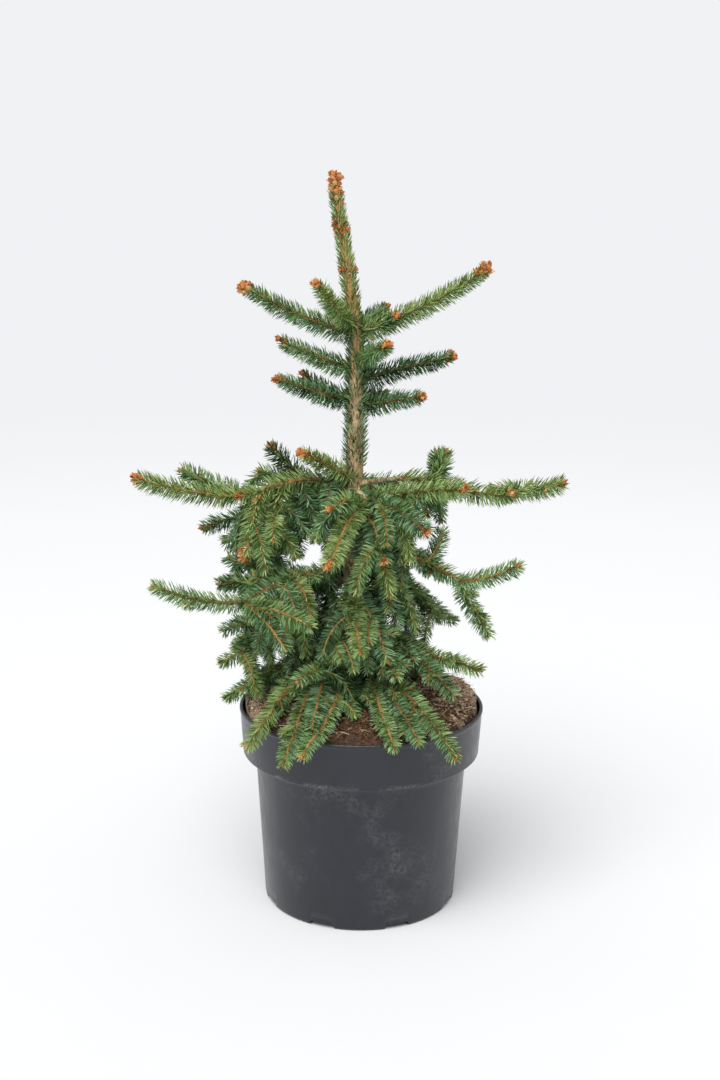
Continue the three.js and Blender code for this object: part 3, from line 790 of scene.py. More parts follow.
# The crown, tier by tier: what each limb or shoot carries, and how it is clothed. Tones are the shares of
# sprays in fresh, mid, blue and deep green. The masses under fresher and deeper are a tone away from that.
plainTier = {
    "onTrunk": [], "onLimbs": {}, "onward": {}, "slot": "needles_shaded",
    "fresher": [], "deeper": [], "freshest": 0, "extraBuds": 0, "baseLonger": 0.0,
    "tipBuds": (1, 2), "tipReach": 3.0, "flankBuds": 0.35, "vigorous": 90.0, "rootGirth": 2.6,
}
tiers = {
    "top": {
        **plainTier, "slot": "needles_fresh",
        "onTrunk": sprays("top_left", "top_front", "top_right", "top_back",
                          "second_left", "second_front", "second_right", "second_back",
                          "third_left", "third_right", "third_back", "whorl_left"),
        "tones": (0.55, 0.4, 0.05, 0.0),
        "deeper": sprays("second_left", "second_right", "second_back",
                         "third_left", "third_right", "third_back"),
        "sideTwigs": 0.0, "perCm": 68, "needleSize": 1.08, "mainSize": 1.0, "baseLonger": 0.42,
        "bareTip": 6.0, "tipBuds": (10, 13), "tipReach": 11.0, "budSize": 7.6, "flankBuds": 1.6,
        "vigorous": 100.0, "rootGirth": 2.9,
    },
    "arms": {
        **plainTier,
        "onLimbs": {"left_arm": ["left_arm_spray"], "right_arm": ["right_arm_spray"],
                    "front_arm": ["front_right_spray", "front_left_spray"], "back_arm": ["back_arm_spray"],
                    "back_left_arm": ["back_left_spray"]},
        "onward": {"left_arm_spray": ["left_arm_tip", "left_arm_rear"], "right_arm_spray": ["right_arm_tip"],
                   "back_left_spray": ["back_left_tip"]},
        "tones": (0.32, 0.48, 0.17, 0.03), "fresher": ["left_arm_tip", "left_arm_spray", "right_arm_tip"],
        "extraBuds": 2,
        "sideTwigs": 0.35, "perCm": 56, "needleSize": 1.06, "mainSize": 1.2, "bareTip": 4.0,
        "tipBuds": (4, 7), "tipReach": 8.0, "budSize": 6.2, "flankBuds": 0.9, "rootGirth": 2.8,
    },
    "middle": {
        **plainTier,
        "onLimbs": {"mid_left_limb": ["mid_left_spray"], "mid_right_limb": ["mid_right_spray"],
                    "mid_front_limb": ["mid_front_spray"], "back_right_limb": ["back_right_spray"],
                    "back_mid_limb": ["back_mid_spray"], "back_left_limb": ["back_left_mid_spray"]},
        "onward": {"mid_left_spray": ["mid_left_tip", "mid_left_hanging"],
                   "mid_right_spray": ["mid_right_tip", "mid_right_hanging"]},
        "tones": (0.1, 0.46, 0.34, 0.1), "fresher": ["mid_left_tip", "mid_right_tip", "mid_right_hanging"],
        "freshest": 1, "extraBuds": 2,
        "sideTwigs": 0.8, "perCm": 52, "needleSize": 0.95, "mainSize": 1.2, "bareTip": 1.0, "budSize": 4.0,
    },
    "low": {
        **plainTier,
        "onLimbs": {"lower_left_limb": ["lower_left_spray"],
                    "low_side_limb": ["low_side_spray", "low_side_hanging"],
                    "low_front_limb": ["low_front_left_spray", "low_front_right_spray"],
                    "low_right_limb": ["low_right_spray"], "low_back_limb": ["low_back_spray"]},
        # painted shade: the low tier's shares lean to the deeper tones
        "tones": (0.02, 0.32, 0.4, 0.26), "fresher": sprays("low_front_left", "low_front_right"),
        "freshest": 1,
        "sideTwigs": 0.7, "perCm": 55, "needleSize": 0.95, "mainSize": 1.12, "bareTip": 0.5, "budSize": 3.8,
    },
}

# The branching rule, in millimetres: shoots run down the middle of each mass, side twigs leave them in turn.
branching = {
    "cell": 3.8, "cellShift": (0.37, 0.41, 0.33), "edgeToll": 0.15, "middleFirst": 2.0,
    "cover": 1.25, "coverSpare": 3.0, "shortest": 24.0, "tipSpare": 2.5, "step": 2.0, "rounding": (3, 10),
    "rootBand": 4.0, "rootSink": 2.0, "upperOut": 0.55,
    "sideFirst": (10, 16), "sideEvery": (12.0, 19.0), "sideTipSpare": 20.0, "sideAngle": (44.0, 62.0),
    "sideRoll": (-0.1, 0.4), "sideLongest": 42.0, "sideLength": (0.75, 1.0), "sideShortest": 13.0,
    "sideBend": 0.5, "sideOnward": 0.45, "sideDroop": 0.12, "apart": 7.0,
    "tipGirth": 1.3, "thickening": 0.0095, "carrierLonger": 45.0, "seed": 23,
}

# Weeping shoots that hang into the hollow of the crown, in millimetres. The hollow is an upright drum;
# each opening is a spot beside the trunk (across, up, half width) that can be looked through.
weeping = {
    "middle": (-25.0, 0.0), "reach": 104.0, "bottom": 228.0, "top": 450.0,
    "tries": 3600, "length": (38.0, 78.0), "lift": (-0.8, 0.2), "outward": 0.5, "droop": 0.07,
    "apart": 9.0, "apartFrom": 14.0, "hollow": 11.0, "shortest": 26.0,
    "openings": [(-78.0, 417.0, 6.0), (-44.0, 372.0, 5.0), (-63.0, 356.0, 4.0), (43.0, 427.0, 6.0),
                 (63.0, 334.0, 8.0)],
    "openingSpare": 1.5, "openingFrom": 6.0, "limbBare": 16.0, "slimness": 0.75, "seed": 41,
}


def innerCells(solid, low, high, pitch, shift):
    # cells of a grid whose middles lie inside a closed solid, found column by column
    low = low + pitch * np.array(shift)
    justPast = Vector((0, 0, 2e-6))
    cells = []
    for i in range(int((high[0] - low[0]) / pitch) + 1):
        for j in range(int((high[1] - low[1]) / pitch) + 1):
            start = Vector((low[0] + i * pitch, low[1] + j * pitch, low[2] - 2 * pitch))
            crossings = []
            hit = solid.ray_cast(start, Vector(upAxis))[0]
            while hit is not None:
                crossings.append(hit.z)
                hit = solid.ray_cast(hit + justPast, Vector(upAxis))[0]
            for lower, upper in zip(crossings[::2], crossings[1::2]):
                first, last = math.ceil((lower - low[2]) / pitch), math.floor((upper - low[2]) / pitch)
                cells += [(i, j, k) for k in range(first, last + 1)]
    cells = np.array(cells)
    return cells, low + cells * pitch


def travelFrom(start, cells, depth, rule):
    # the way from one cell to every other that keeps to the thick middle of the solid
    steps = [(x, y, z, math.sqrt(x * x + y * y + z * z))
             for x in (-1, 0, 1) for y in (-1, 0, 1) for z in (-1, 0, 1) if (x, y, z) != (0, 0, 0)]
    places = cells.tolist()
    lookup = {tuple(cell): k for k, cell in enumerate(places)}
    toll = (1.0 / (rule["edgeToll"] + depth / depth.max()) ** rule["middleFirst"]).tolist()
    cost, back, travel = [math.inf] * len(cells), [-1] * len(cells), [-1.0] * len(cells)
    cost[start], travel[start] = 0.0, 0.0
    queue = [(0.0, start)]
    while queue:
        spent, here = heapq.heappop(queue)
        if spent > cost[here]:
            continue
        x, y, z = places[here]
        for dx, dy, dz, length in steps:
            there = lookup.get((x + dx, y + dy, z + dz))
            if there is None:
                continue
            total = spent + length * toll[there]
            if total < cost[there]:
                cost[there], back[there], travel[there] = total, here, travel[here] + length
                heapq.heappush(queue, (total, there))
    return back, np.array(travel)


def shootsIn(name, rootPoint, rule):
    # lines that run from a mass's root to each of its tips, the longest first
    points, corners = nodeShape(name)
    solid = BVHTree.FromPolygons(points.tolist(), corners.tolist())
    cells, middles = innerCells(solid, points.min(axis=0), points.max(axis=0), rule["cell"] * mm,
                                rule["cellShift"])
    depth = np.array([solid.find_nearest(point)[3] for point in middles])
    start = int(np.argmin(lengths(middles - rootPoint)))
    back, travel = travelFrom(start, cells, depth, rule)
    covered = travel < 0
    taken, lines = {start}, []
    spare = max(1, int(rule["tipSpare"] / rule["step"]))
    before, after = rule["rounding"]
    while not covered.all():
        tip = int(np.argmax(np.where(covered, -1.0, travel)))
        trail = [tip]
        while trail[-1] not in taken:
            trail.append(back[trail[-1]])
        trail = trail[::-1]
        line = middles[trail]
        gaps = lengths(middles[:, None] - line[None])
        covered |= (gaps < rule["cover"] * depth[trail] + rule["coverSpare"] * mm).any(axis=1)
        covered[tip] = True
        if len(trail) > 2 and (pathLength(line) > rule["shortest"] * mm or not lines):
            known = np.concatenate(lines) if lines else rootPoint[None]
            line[0] = known[np.argmin(lengths(known - line[0]))]
            taken.update(trail)
            line = resampled(smoothed(line, before), rule["step"] * mm)
            lines.append(smoothed(line, after)[:-spare])
    return solid, lines


def isInside(solid, point):
    spot, normal, _, _ = solid.find_nearest(Vector(point))
    return (Vector(point) - spot).dot(normal) < 0


def framesOf(line):
    # heading, upper side and flank of a shoot at each of its points
    heading = tangents(line)
    lean = upAxis + branching["upperOut"] * outwardFrom(line)
    upper = unit(lean - heading * (heading * lean).sum(axis=1, keepdims=True))
    return heading, upper, np.cross(heading, upper)


def sideTwigsOf(line, solid, others, rule, chance, rng):
    heading, upper, flank = framesOf(line)
    twigs, hand, at = [], 1, rng.uniform(*rule["sideFirst"])
    total = pathLength(line) / mm
    while at < total - rule["sideTipSpare"]:
        k = min(len(line) - 1, int(at / rule["step"]))
        at += rng.uniform(*rule["sideEvery"])
        hand = -hand
        angle, roll = math.radians(rng.uniform(*rule["sideAngle"])), rng.normal(*rule["sideRoll"])
        wanted = rng.uniform(*rule["sideLength"]) * rule["sideLongest"] * mm
        if rng.uniform() > chance:
            continue
        outwards = hand * math.cos(roll) * flank[k] + math.sin(roll) * upper[k]
        first = math.cos(angle) * heading[k] + math.sin(angle) * outwards
        later = unit(first + rule["sideOnward"] * heading[k] - rule["sideDroop"] * upAxis)
        steps = np.arange(0, wanted, rule["step"] * mm)
        bend = rule["sideBend"] * (steps / wanted)[:, None]
        twig = line[k] + steps[:, None] * ((1 - bend) * first + bend * later)
        inside = [isInside(solid, point) for point in twig]
        reach = inside.index(False) if False in inside else len(twig)
        twig = twig[:reach]
        if reach * rule["step"] < rule["sideShortest"]:
            continue
        if lengths(np.concatenate(others + twigs) - twig[-1]).min() < rule["apart"] * mm:
            continue
        twigs.append(twig)
    return twigs


def girthOf(line, rule, most, beyond=0.0):
    # half thickness of a shoot, growing from its tip
    gaps = lengths(np.diff(line, axis=0))
    toTip = np.concatenate((np.cumsum(gaps[::-1])[::-1], [0.0])) / mm
    return np.minimum(most, rule["tipGirth"] + rule["thickening"] * (toTip + beyond)) * mm


def limbLine(name):
    # a bare limb's middle, from inside the trunk to its outer end, and its half thickness there
    points, _ = nodeShape(name)
    centre = points.mean(axis=0)
    along = np.linalg.svd(points - centre, full_matrices=False)[2][0]
    if along @ outwardFrom(centre)[0] < 0:
        along = -along
    reach = (points - centre) @ along
    end = points[reach > reach.max() - mm]
    tip = end.mean(axis=0)
    girth = lengths(end - tip).max()
    root = trunkPoint(tip[2])
    for _ in range(3):
        root = trunkPoint((tip - along * np.linalg.norm(tip - root))[2])
    return root, tip, girth


def rootOf(mass, carrier, linesOf, rule):
    # a mass starts at its limb's end, on the shoots that carry it, or in the trunk
    if carrier in limbs:
        return limbs[carrier][2]
    points, _ = nodeShape(mass)
    if carrier:
        carrying = np.concatenate(linesOf[carrier])
        return carrying[np.argmin(lengths(points[:, None] - carrying[None]).min(axis=0))]
    near = lengths(points - trunkPoint(points[:, 2]))
    level = np.median(points[near < near.min() + rule["rootBand"] * mm, 2])
    return trunkPoint(level - rule["rootSink"] * mm)


def growCrown(rule):
    rng = np.random.default_rng(rule["seed"])
    crown = {}
    for tierName, tier in tiers.items():
        shoots, linesOf, most = [], {}, tier["rootGirth"]
        waiting = [(mass, limb) for limb, masses in tier["onLimbs"].items() for mass in masses]
        waiting += [(mass, None) for mass in tier["onTrunk"]]
        waiting += [(mass, carrier) for carrier, masses in tier["onward"].items() for mass in masses]
        for mass, carrier in waiting:
            solid, lines = shootsIn(mass, rootOf(mass, carrier, linesOf, rule), rule)
            linesOf[mass] = lines
            beyond = rule["carrierLonger"] if mass in tier["onward"] else 0.0
            for line in lines:
                girth = girthOf(line, rule, most, beyond)
                shoots.append({"mass": mass, "line": line, "girth": girth, "main": True})
            for line in lines if tier["sideTwigs"] else []:
                known = [shoot["line"] for shoot in shoots if shoot["mass"] == mass]
                for twig in sideTwigsOf(line, solid, known, rule, tier["sideTwigs"], rng):
                    girth = girthOf(twig, rule, most)
                    shoots.append({"mass": mass, "line": twig, "girth": girth, "main": False})
        crown[tierName] = shoots
        total = sum(pathLength(shoot["line"]) for shoot in shoots)
        print("grown", tierName, len(shoots), "shoots,", round(total, 2), "m")
    return crown


def growWeeping(rule):
    # tries random places on the shoots and bare limbs, and keeps what hangs clear of the rest
    rng = np.random.default_rng(rule["seed"])
    step, eye, middle = branching["step"], np.array(cameraView["place"]), np.array(rule["middle"]) * mm
    parents = [(tierName, shoot["mass"], shoot["line"]) for tierName in ("arms", "middle", "low")
               for shoot in crown[tierName]]
    for name, (tierName, root, tip, _) in limbs.items():
        line = resampled(np.array([root, tip]), step * mm)
        parents.append((tierName, tiers[tierName]["onLimbs"][name][0], line[int(rule["limbBare"] / step):]))
    starts = [(which, k) for which, (_, _, line) in enumerate(parents) for k in range(0, len(line), 2)]
    taken = np.concatenate([line[::2] for _, _, line in parents] + [trunkLine[::3]])
    views = [(unit(np.array((x, 0.0, z)) * mm - eye), width * mm) for x, z, width in rule["openings"]]
    count = 0
    for _ in range(rule["tries"]):
        which, k = starts[rng.integers(len(starts))]
        tierName, mass, parent = parents[which]
        start = parent[k]
        wanted = rng.uniform(*rule["length"])
        bearing, lift = rng.uniform(0, fullTurn), rng.uniform(*rule["lift"])
        if np.linalg.norm(start[:2] - middle) > rule["reach"] * mm or start[2] > rule["top"] * mm:
            continue
        heading = np.array((math.cos(bearing), math.sin(bearing), lift))
        heading = unit(heading + rule["outward"] * outwardFrom(start)[0])
        line = [start]
        for _ in range(int(wanted / step)):
            line.append(line[-1] + heading * step * mm)
            heading = unit(heading - upAxis * rule["droop"])
        line = np.array(line)
        gaps = lengths(taken[None] - line[:, None]).min(axis=1) / mm
        away = np.arange(len(line)) * step
        good = (gaps > rule["apart"]) | (away < rule["apartFrom"])
        good &= lengths(line[:, :2] - middle) < rule["reach"] * mm
        good &= line[:, 2] > rule["bottom"] * mm
        for way, width in views:
            sideways = lengths(np.cross(line - eye, way))
            good &= (sideways > width + rule["openingSpare"] * mm) | (away < rule["openingFrom"])
        reach = int(np.argmin(good)) if not good.all() else len(line)
        if away[max(0, reach - 1)] < rule["shortest"] or gaps[reach - 1] < rule["hollow"]:
            continue
        line = line[:reach]
        taken = np.concatenate((taken, line[2::2]))
        girth = girthOf(line, branching, tiers[tierName]["rootGirth"]) * rule["slimness"]
        crown[tierName].append({"mass": mass, "line": line, "girth": girth, "main": False})
        count += 1
    print("weeping shoots", count)


limbs = {limb: (tierName, *limbLine(limb)) for tierName, tier in tiers.items() for limb in tier["onLimbs"]}
crown = growCrown(branching)
growWeeping(weeping)

# Needles, in millimetres and degrees. The lean is measured from the shoot's own heading.
needleRule = {
    "length": 10.6, "lengthSpread": 0.08, "width": 0.98, "widthSpread": (0.88, 1.12), "flat": 0.8,
    "waist": 0.66, "waistBend": 0.218, "ridge": 1.2, "foot": 0.7,   # shares of one needle's size
    "leanSide": 64.0, "leanUpper": 52.0, "leanUnder": 70.0, "leanTip": 36.0, "leanSpread": 5.0,
    "tipWide": 9.0, "tipPull": 0.7, "tipShorter": 0.28, "rootWide": 5.0, "rootShorter": 0.2, "evenAt": 0.8,
    "turnSpread": 0.3, "stray": 0.055, "upturn": 0.05, "curve": 18.0, "sunk": 0.8,
    "tipFan": 8, "fanLean": (24, 60), "fewest": 4, "seed": 5,
    "partingWide": 30.0, "partingKept": 0.3,      # the thinned strip on top, where the twig shows
    # inner shoots, near the trunk, mostly stand a tone deeper as painted shade, and are thinner
    "innerReach": 66.0, "innerPaintedShade": 0.9, "innerThinned": 0.6,
    # painted light and shade: needles on a shoot's upper side stand a tone paler, those underneath a tone
    # deeper
    "upperPaintedLight": (0.2, 0.35), "tipFresher": (0.5, 0.5), "underPaintedShade": (0.3, 0.4),   # where, how often
    "twigSides": 5, "twigStep": 2.2, "twigKnobs": (0.86, 1.16), "budget": 190000,
}


class Clothing:
    # needles, twigs and buds of one tier, gathered before they are joined
    def __init__(self):
        self.needles, self.twigs, self.buds = [], Joiner(), Joiner()


def needleMesh(base, first, last, flank, length, width, flat):
    # three-sided spikes that curve from their first heading to their last
    long = length[:, None]
    waist = base + long * (needleRule["waist"] * first + needleRule["waistBend"] * (last - first))
    tip = base + long * (first + 0.5 * (last - first))
    spread = (width / 2)[:, None]
    ridge = unit(np.cross(first + last, flank)) * spread * flat * needleRule["ridge"]
    corners = [ridge, -flank * spread - ridge / 2, flank * spread - ridge / 2]
    rings = [base + needleRule["foot"] * c for c in corners] + [waist + c for c in corners] + [tip]
    faces = []
    for k in range(3):
        after = (k + 1) % 3
        faces += [(k, after, after + 3), (k, after + 3, k + 3), (k + 3, after + 3, 6)]
    many = (np.arange(len(base)) * len(rings))[:, None, None] + np.array(faces)[None]
    return columns(*rings).reshape(-1, 3), many.reshape(-1, 3)


def leanAround(around, rule):
    # the lean of a needle by where it stands round the shoot: 0 is the upper side
    up, side = np.cos(around), rule["leanSide"]
    return np.where(up > 0, side + (rule["leanUpper"] - side) * up, side - (rule["leanUnder"] - side) * up)


def sometimes(place, odds, luck):
    return (place > odds[0]) & (luck < odds[1])


def clothe(clothing, line, girth, perCm, tone, rng, evenLean=None, start=0.0, size=1.0, bareTip=0.0,
           baseLonger=0.0):
    # needles all round a shoot, with a parting on top unless they lean evenly, and a fan of them at its tip
    rule = needleRule
    scale = np.linspace(0, 1, len(line))
    total = pathLength(line) / mm
    count = int(total * (1 - start) / 10 * perCm)
    if count < rule["fewest"]:
        return
    end = 1 - bareTip / total
    at = start + (end - start) * (np.arange(count) + rng.uniform(0, 1, count)) / count
    around = np.arange(count) * goldenTurn + rng.normal(0, rule["turnSpread"], count)
    around = (around + math.pi) % fullTurn - math.pi
    if evenLean is None:
        parting = np.abs(around) < math.radians(rule["partingWide"])
        kept = ~parting | (rng.uniform(0, 1, count) < rule["partingKept"])
        at, around = at[kept], around[kept]
    lean = leanAround(around, rule) if evenLean is None else np.full(len(at), evenLean)
    fan = rule["tipFan"]
    at = np.concatenate((at, np.full(fan, end)))
    around = np.concatenate((around, rng.uniform(-math.pi, math.pi, fan)))
    lean = np.concatenate((lean, rng.uniform(*rule["fanLean"], fan)))
    count = len(at)
    tipness = np.exp(-(1 - at) * total / rule["tipWide"])
    lean += (rule["leanTip"] - lean) * rule["tipPull"] * tipness + rng.normal(0, rule["leanSpread"], count)
    heading, upper, flank = (unit(between(at, scale, rows)) for rows in framesOf(line))
    radial = swung(around, upper, flank)
    stray = rng.normal(0, rule["stray"], (count, 3))
    first, last = (swung(np.radians(lean + bend), heading, radial) + stray
                   for bend in (rule["curve"] / 2, -rule["curve"] / 2))
    base = between(at, scale, line) + radial * (np.interp(at, scale, girth) * rule["sunk"])[:, None]
    length = size * rule["length"] * (1 + rng.normal(0, rule["lengthSpread"], count)) * mm
    length *= (1 - rule["tipShorter"] * tipness) * (1 + baseLonger * (rule["evenAt"] - at))
    length *= 1 - rule["rootShorter"] * np.exp(-at * total / rule["rootWide"])
    width = rule["width"] * size ** 0.5 * rng.uniform(*rule["widthSpread"], count) * mm
    luck, up = rng.uniform(0, 1, count), np.cos(around)
    # painted light makes some upper-side needles a tone paler and painted shade some underside ones a tone
    # deeper; paler tips are young growth
    tones = tone - sometimes(up, rule["upperPaintedLight"], luck) - sometimes(tipness, rule["tipFresher"], luck)
    tones = tones + sometimes(-up, rule["underPaintedShade"], 1 - luck)
    clothing.needles.append({
        "base": base, "first": unit(first), "last": unit(last + rule["upturn"] * upAxis),
        "flank": unit(np.cross(heading, radial)), "length": length, "width": width,
        "tone": np.clip(tones, 0, len(needleTones) - 1)})


# A bud is an egg with the tips of its lowest scales standing off. Sizes are shares of its length.
budShape = {
    "levels": (0.0, 0.22, 0.5, 0.78, 1.0), "fullness": (0.6, 0.98, 0.93, 0.55, 0.08),
    "sides": 6, "halfWidth": 0.33, "ruffle": 0.16, "skew": (0.31, 0.52, 0.79),
    "scales": 6, "scaleLevel": (0.05, 0.6), "scaleOut": 0.26, "scaleSpread": (0.6, 1.2),
    "scaleBend": 0.7, "scaleLength": (0.34, 0.55), "scaleWide": 0.6, "scaleFlat": 0.4,
}
# How buds sit on a shoot: crowded back from its tip, and now and then on its flanks.
budRule = {
    "sunk": 0.6, "onBark": 0.7, "vigour": (0.8, 1.3), "extraSize": 1.2, "crowding": 1.2,
    "upward": (0.35, 0.8), "onward": (0.4, 1.0), "smaller": (0.7, 0.95),
    "flankAt": (0.42, 0.88), "flankMost": 3, "flankUp": (0.4, 0.5), "flankOnward": 0.6, "flankApart": 2,
    "flankSmaller": (0.6, 0.85),
}


def addBud(clothing, at, heading, size, rng):
    s, sides, long = budShape, budShape["sides"], size * mm
    ripple = (-1.0) ** np.add.outer(np.arange(len(s["levels"])), np.arange(sides))
    radii = long * s["halfWidth"] * np.array(s["fullness"])[:, None] * (1 + s["ruffle"] * ripple)
    line = at + heading * (np.array(s["levels"]) * long)[:, None]
    clothing.buds.add(*tubeMesh(line, radii, sides))
    count = s["scales"]
    side = unit(np.cross(heading, s["skew"]))
    radial = swung(np.arange(count) * goldenTurn, side, np.cross(heading, side))
    level = rng.uniform(*s["scaleLevel"], count)
    base = at + heading * (level * long)[:, None] + radial * long * s["scaleOut"]
    first = unit(radial * rng.uniform(*s["scaleSpread"], (count, 1)) + heading)
    last = unit(first + s["scaleBend"] * heading)
    length = rng.uniform(*s["scaleLength"], count) * long
    clothing.buds.add(*needleMesh(base, first, last, unit(np.cross(heading, radial)), length,
                                  length * s["scaleWide"], s["scaleFlat"]))


def addBuds(clothing, line, girth, tier, main, rng, extra=0):
    s = budRule
    heading, upper, flank = framesOf(line)
    vigour = s["vigour"][0]
    if main:
        vigour = float(np.clip(pathLength(line) / (tier["vigorous"] * mm), *s["vigour"]))
    size = tier["budSize"] * vigour * (s["extraSize"] if extra else 1.0)
    fewest, most = tier["tipBuds"]
    count = extra + (rng.integers(fewest, most + 1) if main else 1)
    addBud(clothing, line[-1] - heading[-1] * s["sunk"] * mm, heading[-1], size, rng)
    for _ in range(int(count) - 1):
        back = rng.uniform(0.0, 1.0) ** s["crowding"] * tier["tipReach"] * vigour
        k = max(0, len(line) - 1 - int(back / branching["step"]))
        side = unit(rng.normal(0, 1) * flank[k] + rng.normal(*s["upward"]) * upper[k])
        way = unit(rng.uniform(*s["onward"]) * heading[k] + side)
        at = line[k] + side * girth[k] * s["onBark"]
        addBud(clothing, at, way, size * rng.uniform(*s["smaller"]), rng)
    if not main:
        return
    level, spread = s["flankUp"]
    for _ in range(rng.poisson(tier["flankBuds"])):
        k = int(len(line) * rng.uniform(*s["flankAt"]))
        for _ in range(rng.integers(1, s["flankMost"] + 1)):
            side = unit(rng.normal(0, 1) * flank[k] + (level + abs(rng.normal(0, spread))) * upper[k])
            way = unit(s["flankOnward"] * heading[k] + side)
            at = line[k] + side * girth[k] * s["onBark"] + heading[k] * rng.normal(0, s["flankApart"]) * mm
            addBud(clothing, at, way, size * rng.uniform(*s["flankSmaller"]), rng)


def addTwig(clothing, line, girth, rng, kind=0):
    sides = needleRule["twigSides"]
    path = resampled(line, needleRule["twigStep"] * mm)
    thick = np.interp(np.linspace(0, 1, len(path)), np.linspace(0, 1, len(line)), girth)
    knobs = rng.uniform(*needleRule["twigKnobs"], (len(path), sides))
    clothing.twigs.add(*tubeMesh(path, thick[:, None] * knobs, sides), kind=kind)


def clotheCrown(rule):
    rng = np.random.default_rng(rule["seed"])
    dressed = {}
    deepest = len(needleTones) - 1
    for tierName, tier in tiers.items():
        clothing = dressed[tierName] = Clothing()
        for shoot in crown[tierName]:
            line, girth, main = shoot["line"], shoot["girth"], shoot["main"]
            centre = line[len(line) // 2]
            toTrunk = np.linalg.norm(centre - trunkPoint(centre[2]))
            inside = tierName != "top" and toTrunk < rule["innerReach"] * mm
            lively = main and shoot["mass"] in tier["fresher"]
            # painted shade: shoots inside the crown mostly stand a tone deeper
            tone = rng.choice(deepest + 1, p=tier["tones"]) + (inside and rng.uniform() < rule["innerPaintedShade"])
            tone = max(tone - 1, tier["freshest"]) if lively else tone + (shoot["mass"] in tier["deeper"])
            tone = min(int(tone), deepest)
            perCm = tier["perCm"] * (rule["innerThinned"] if inside else 1.0)
            size = tier["needleSize"] * (tier["mainSize"] if main else 1.0)
            clothe(clothing, line, girth, perCm, tone, rng, size=size, baseLonger=tier["baseLonger"],
                   bareTip=tier["bareTip"] if main else 0.0)
            # inner twigs take the darker old twig colour: older wood and painted shade
            addTwig(clothing, line, girth, rng, kind=int(inside))
            addBuds(clothing, line, girth, tier, main, rng, extra=tier["extraBuds"] if lively else 0)
    return dressed


def joinClothing(tierName, clothing, slotName, standsFor):
    rows = {key: np.concatenate([some[key] for some in clothing.needles]) for key in clothing.needles[0]}
    tones = rows.pop("tone")
    perNeedle = 9
    parts = int(math.ceil(len(tones) * perNeedle / needleRule["budget"]))
    for part in range(parts):
        pick = slice(part * len(tones) // parts, (part + 1) * len(tones) // parts)
        points, faces = needleMesh(**{key: row[pick] for key, row in rows.items()}, flat=needleRule["flat"])
        piece = meshPiece(f"{tierName}Needles{part + 1}", points, faces, needleMaterials,
                          np.repeat(tones[pick], perNeedle), smooth=False)
        seat(piece, slotName, *(standsFor if part == 0 else ()))
    seat(clothing.twigs.joined(tierName + "Twigs", [youngTwig, oldAndShadedTwig]), "bark")
    seat(clothing.buds.joined(tierName + "Buds", [budScale], smooth=False), "bark")
    print("joined", tierName, len(tones), "needles in", parts, "pieces")


# The upright leader: the trunk's own needles lie upwards, and buds crowd its tip.
leaderRule = {
    "stretches": [(0.448, 0.6, 50, 1.2, 43.0, 2),      # from, to, per cm, size, lean, tone
                  (0.6, 0.72, 50, 1.08, 38.0, 0)],
    "topSpare": 4, "stemStep": 1.6, "budSize": 9.4, "budSunk": 3, "budsUneven": 0.3, "levelSpread": 1.6,
    "onBark": 0.8, "upward": (0.25, 1.0), "smaller": (0.7, 0.95), "twigPoints": 10, "seed": 31,
    "budLevels": [(0.73, 7), (0.725, 6), (0.718, 5), (0.713, 4), (0.706, 2), (0.692, 2), (0.683, 6),
                  (0.679, 4), (0.643, 5), (0.639, 3), (0.6, 3)],
}


def clotheLeader(rule):
    rng = np.random.default_rng(rule["seed"])
    clothing = Clothing()
    top = cadBox[1][2] - rule["topSpare"] * mm
    heading = tangents(trunkLine)[-1]
    tip = trunkLine[-1] + heading * (top - trunkLine[-1, 2])
    stem = resampled(np.concatenate((trunkLine, [tip])), rule["stemStep"] * mm)
    girth = np.interp(stem[:, 2], trunkHeights, trunkGirth)
    for low, high, perCm, size, lean, tone in rule["stretches"]:
        part = (stem[:, 2] > low) & (stem[:, 2] < high)
        clothe(clothing, stem[part], girth[part], perCm, tone, rng, evenLean=lean, size=size)
    addBud(clothing, stem[-1] - heading * rule["budSunk"] * mm, heading, rule["budSize"], rng)
    for level, count in rule["budLevels"]:
        turn = rng.uniform(0, fullTurn)
        for k in range(count):
            bearing = turn + k * fullTurn / count + rng.normal(0, rule["budsUneven"])
            side = np.array((math.cos(bearing), math.sin(bearing), 0.0))
            height = min(top, level + rng.normal(0, rule["levelSpread"] * mm))
            at = trunkPoint(height) + side * trunkRadius(height) * rule["onBark"]
            at[2] = height
            way = unit(side + rng.uniform(*rule["upward"]) * upAxis)
            addBud(clothing, at, way, rule["budSize"] * rng.uniform(*rule["smaller"]), rng)
    addTwig(clothing, stem[-rule["twigPoints"]:], girth[-rule["twigPoints"]:], rng)
    return clothing


def makeLimbs(clothed, s):
    # bare bark limbs with a collar at the trunk, lightly needled beyond it
    rng = np.random.default_rng(needleRule["seed"] + 1)
    wood = Joiner()
    for tierName, root, tip, girth in limbs.values():
        line = resampled(np.array([root, tip]), s["limbStep"] * mm)
        fromBark = lengths(line - root) - trunkRadius(root[2])
        flare = 1 + (s["collar"] - 1) * np.exp(-np.maximum(0, fromBark) / (s["collarWide"] * mm))
        thick = girth * (1 + s["limbTaper"] * (1 - np.linspace(0, 1, len(line)))) * flare
        wood.add(*barkedTube(line, thick, s["limbSides"], s["limbRidge"], s["limbRelief"], s))
        bare = trunkRadius(root[2]) / np.linalg.norm(tip - root) + s["limbBare"]
        tone = rng.choice(len(needleTones), p=tiers[tierName]["tones"])
        clothe(clothed[tierName], line, np.full(len(line), girth), s["limbPerCm"], tone, rng,
               start=min(s["limbBareMost"], bare))
    seat(wood.joined("limbWood", [trunkBark]), "bark", *limbs)


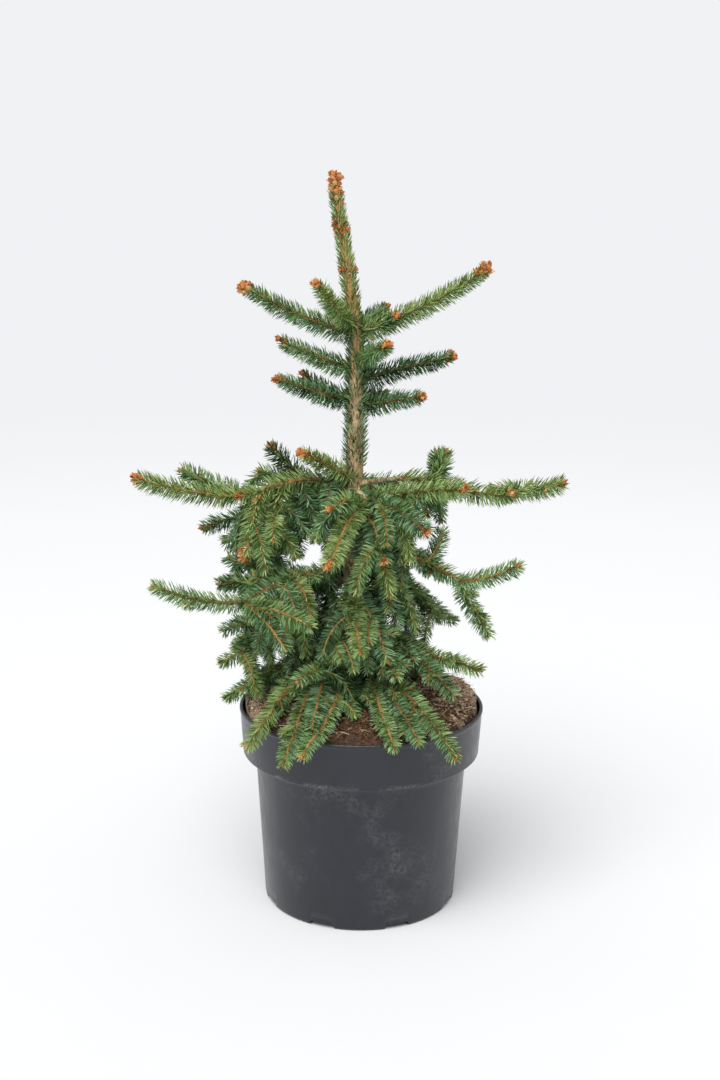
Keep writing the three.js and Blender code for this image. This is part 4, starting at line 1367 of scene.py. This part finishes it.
dressed = clotheCrown(needleRule)
makeLimbs(dressed, barkSizes)
joinClothing("leader", clotheLeader(leaderRule), "needles_fresh", ["leader_needles"])
for tierName, tier in tiers.items():
    masses = sorted({shoot["mass"] for shoot in crown[tierName]})
    joinClothing(tierName, dressed[tierName], tier["slot"], masses)
print("crown clothed")

# Pale floor with a painted pool of light round the pot, and soft studio light.
studio = {
    "floorHalf": 40.0, "floorDrop": 0.0002, "floorTone": 0.95, "farShare": 0.866, "farReach": (0.3, 3.4),
    "grain": 6.0, "rough": (0.85, 1.0), "shine": 0.0, "speck": (0.6, 0.6, 0.6), "speckShare": 0.015,
    "backTone": (0.88, 0.885, 0.895), "skyTone": (0.95, 0.97, 1.0), "skyStrength": 0.46,
    "sunPower": 2.45, "sunSoftness": 50.0, "sunFrom": (-0.4, -1.0, 1.5),   # softness in degrees
}


def makeFloor(s):
    half, drop = s["floorHalf"], -s["floorDrop"]
    corners = np.array([(-half, -half, drop), (half, -half, drop), (half, half, drop), (-half, half, drop)])
    material, tree, shader, grain = grainyMaterial("studio_floor", s)
    tone, far = s["floorTone"], s["floorTone"] * s["farShare"]
    reach = addNode(tree, "VectorMath", {"operation": "LENGTH"}, Vector=placeOn(tree)).outputs["Value"]
    # painted light: the floor is palest near the pot and darker further off
    paintedLightPool = mixColor(tree, softStep(tree, reach, *s["farReach"]), (tone, tone, tone), (far, far, far * 1.01))
    speckled = mixColor(tree, times(tree, grain["Mask"], s["speckShare"]), paintedLightPool, s["speck"])
    plug(tree, speckled, shader["Base Color"])
    floor = meshPiece("floor", corners, np.array([(0, 1, 2, 3)]), [material], smooth=False)


def makeLight(s):
    # the camera sees a paler sky than the one that lights the plant
    world = bpy.data.worlds.new("studio")
    bpy.context.scene.world = world
    world.use_nodes = True
    tree = world.node_tree
    lit = tree.nodes["Background"]
    plug(tree, s["skyTone"], lit.inputs["Color"])
    plug(tree, s["skyStrength"], lit.inputs["Strength"])
    seen = addNode(tree, "Background", Color=s["backTone"], Strength=1.0)
    toCamera = addNode(tree, "LightPath").outputs["Is Camera Ray"]
    chosen = addNode(tree, "MixShader")
    for socket, given in zip(chosen.inputs, (toCamera, lit.outputs[0], seen.outputs[0])):
        plug(tree, given, socket)
    plug(tree, chosen.outputs[0], tree.nodes["World Output"].inputs[0])

    data = bpy.data.lights.new("softSun", "SUN")
    data.energy = s["sunPower"]
    data.angle = math.radians(s["sunSoftness"])
    lamp = addObject("softSun", data)
    lamp.rotation_euler = (-Vector(s["sunFrom"])).to_track_quat("-Z", "Y").to_euler()
    bpy.context.scene.view_settings.view_transform = "Standard"


makeFloor(studio)
makeLight(studio)
print("studio lit")
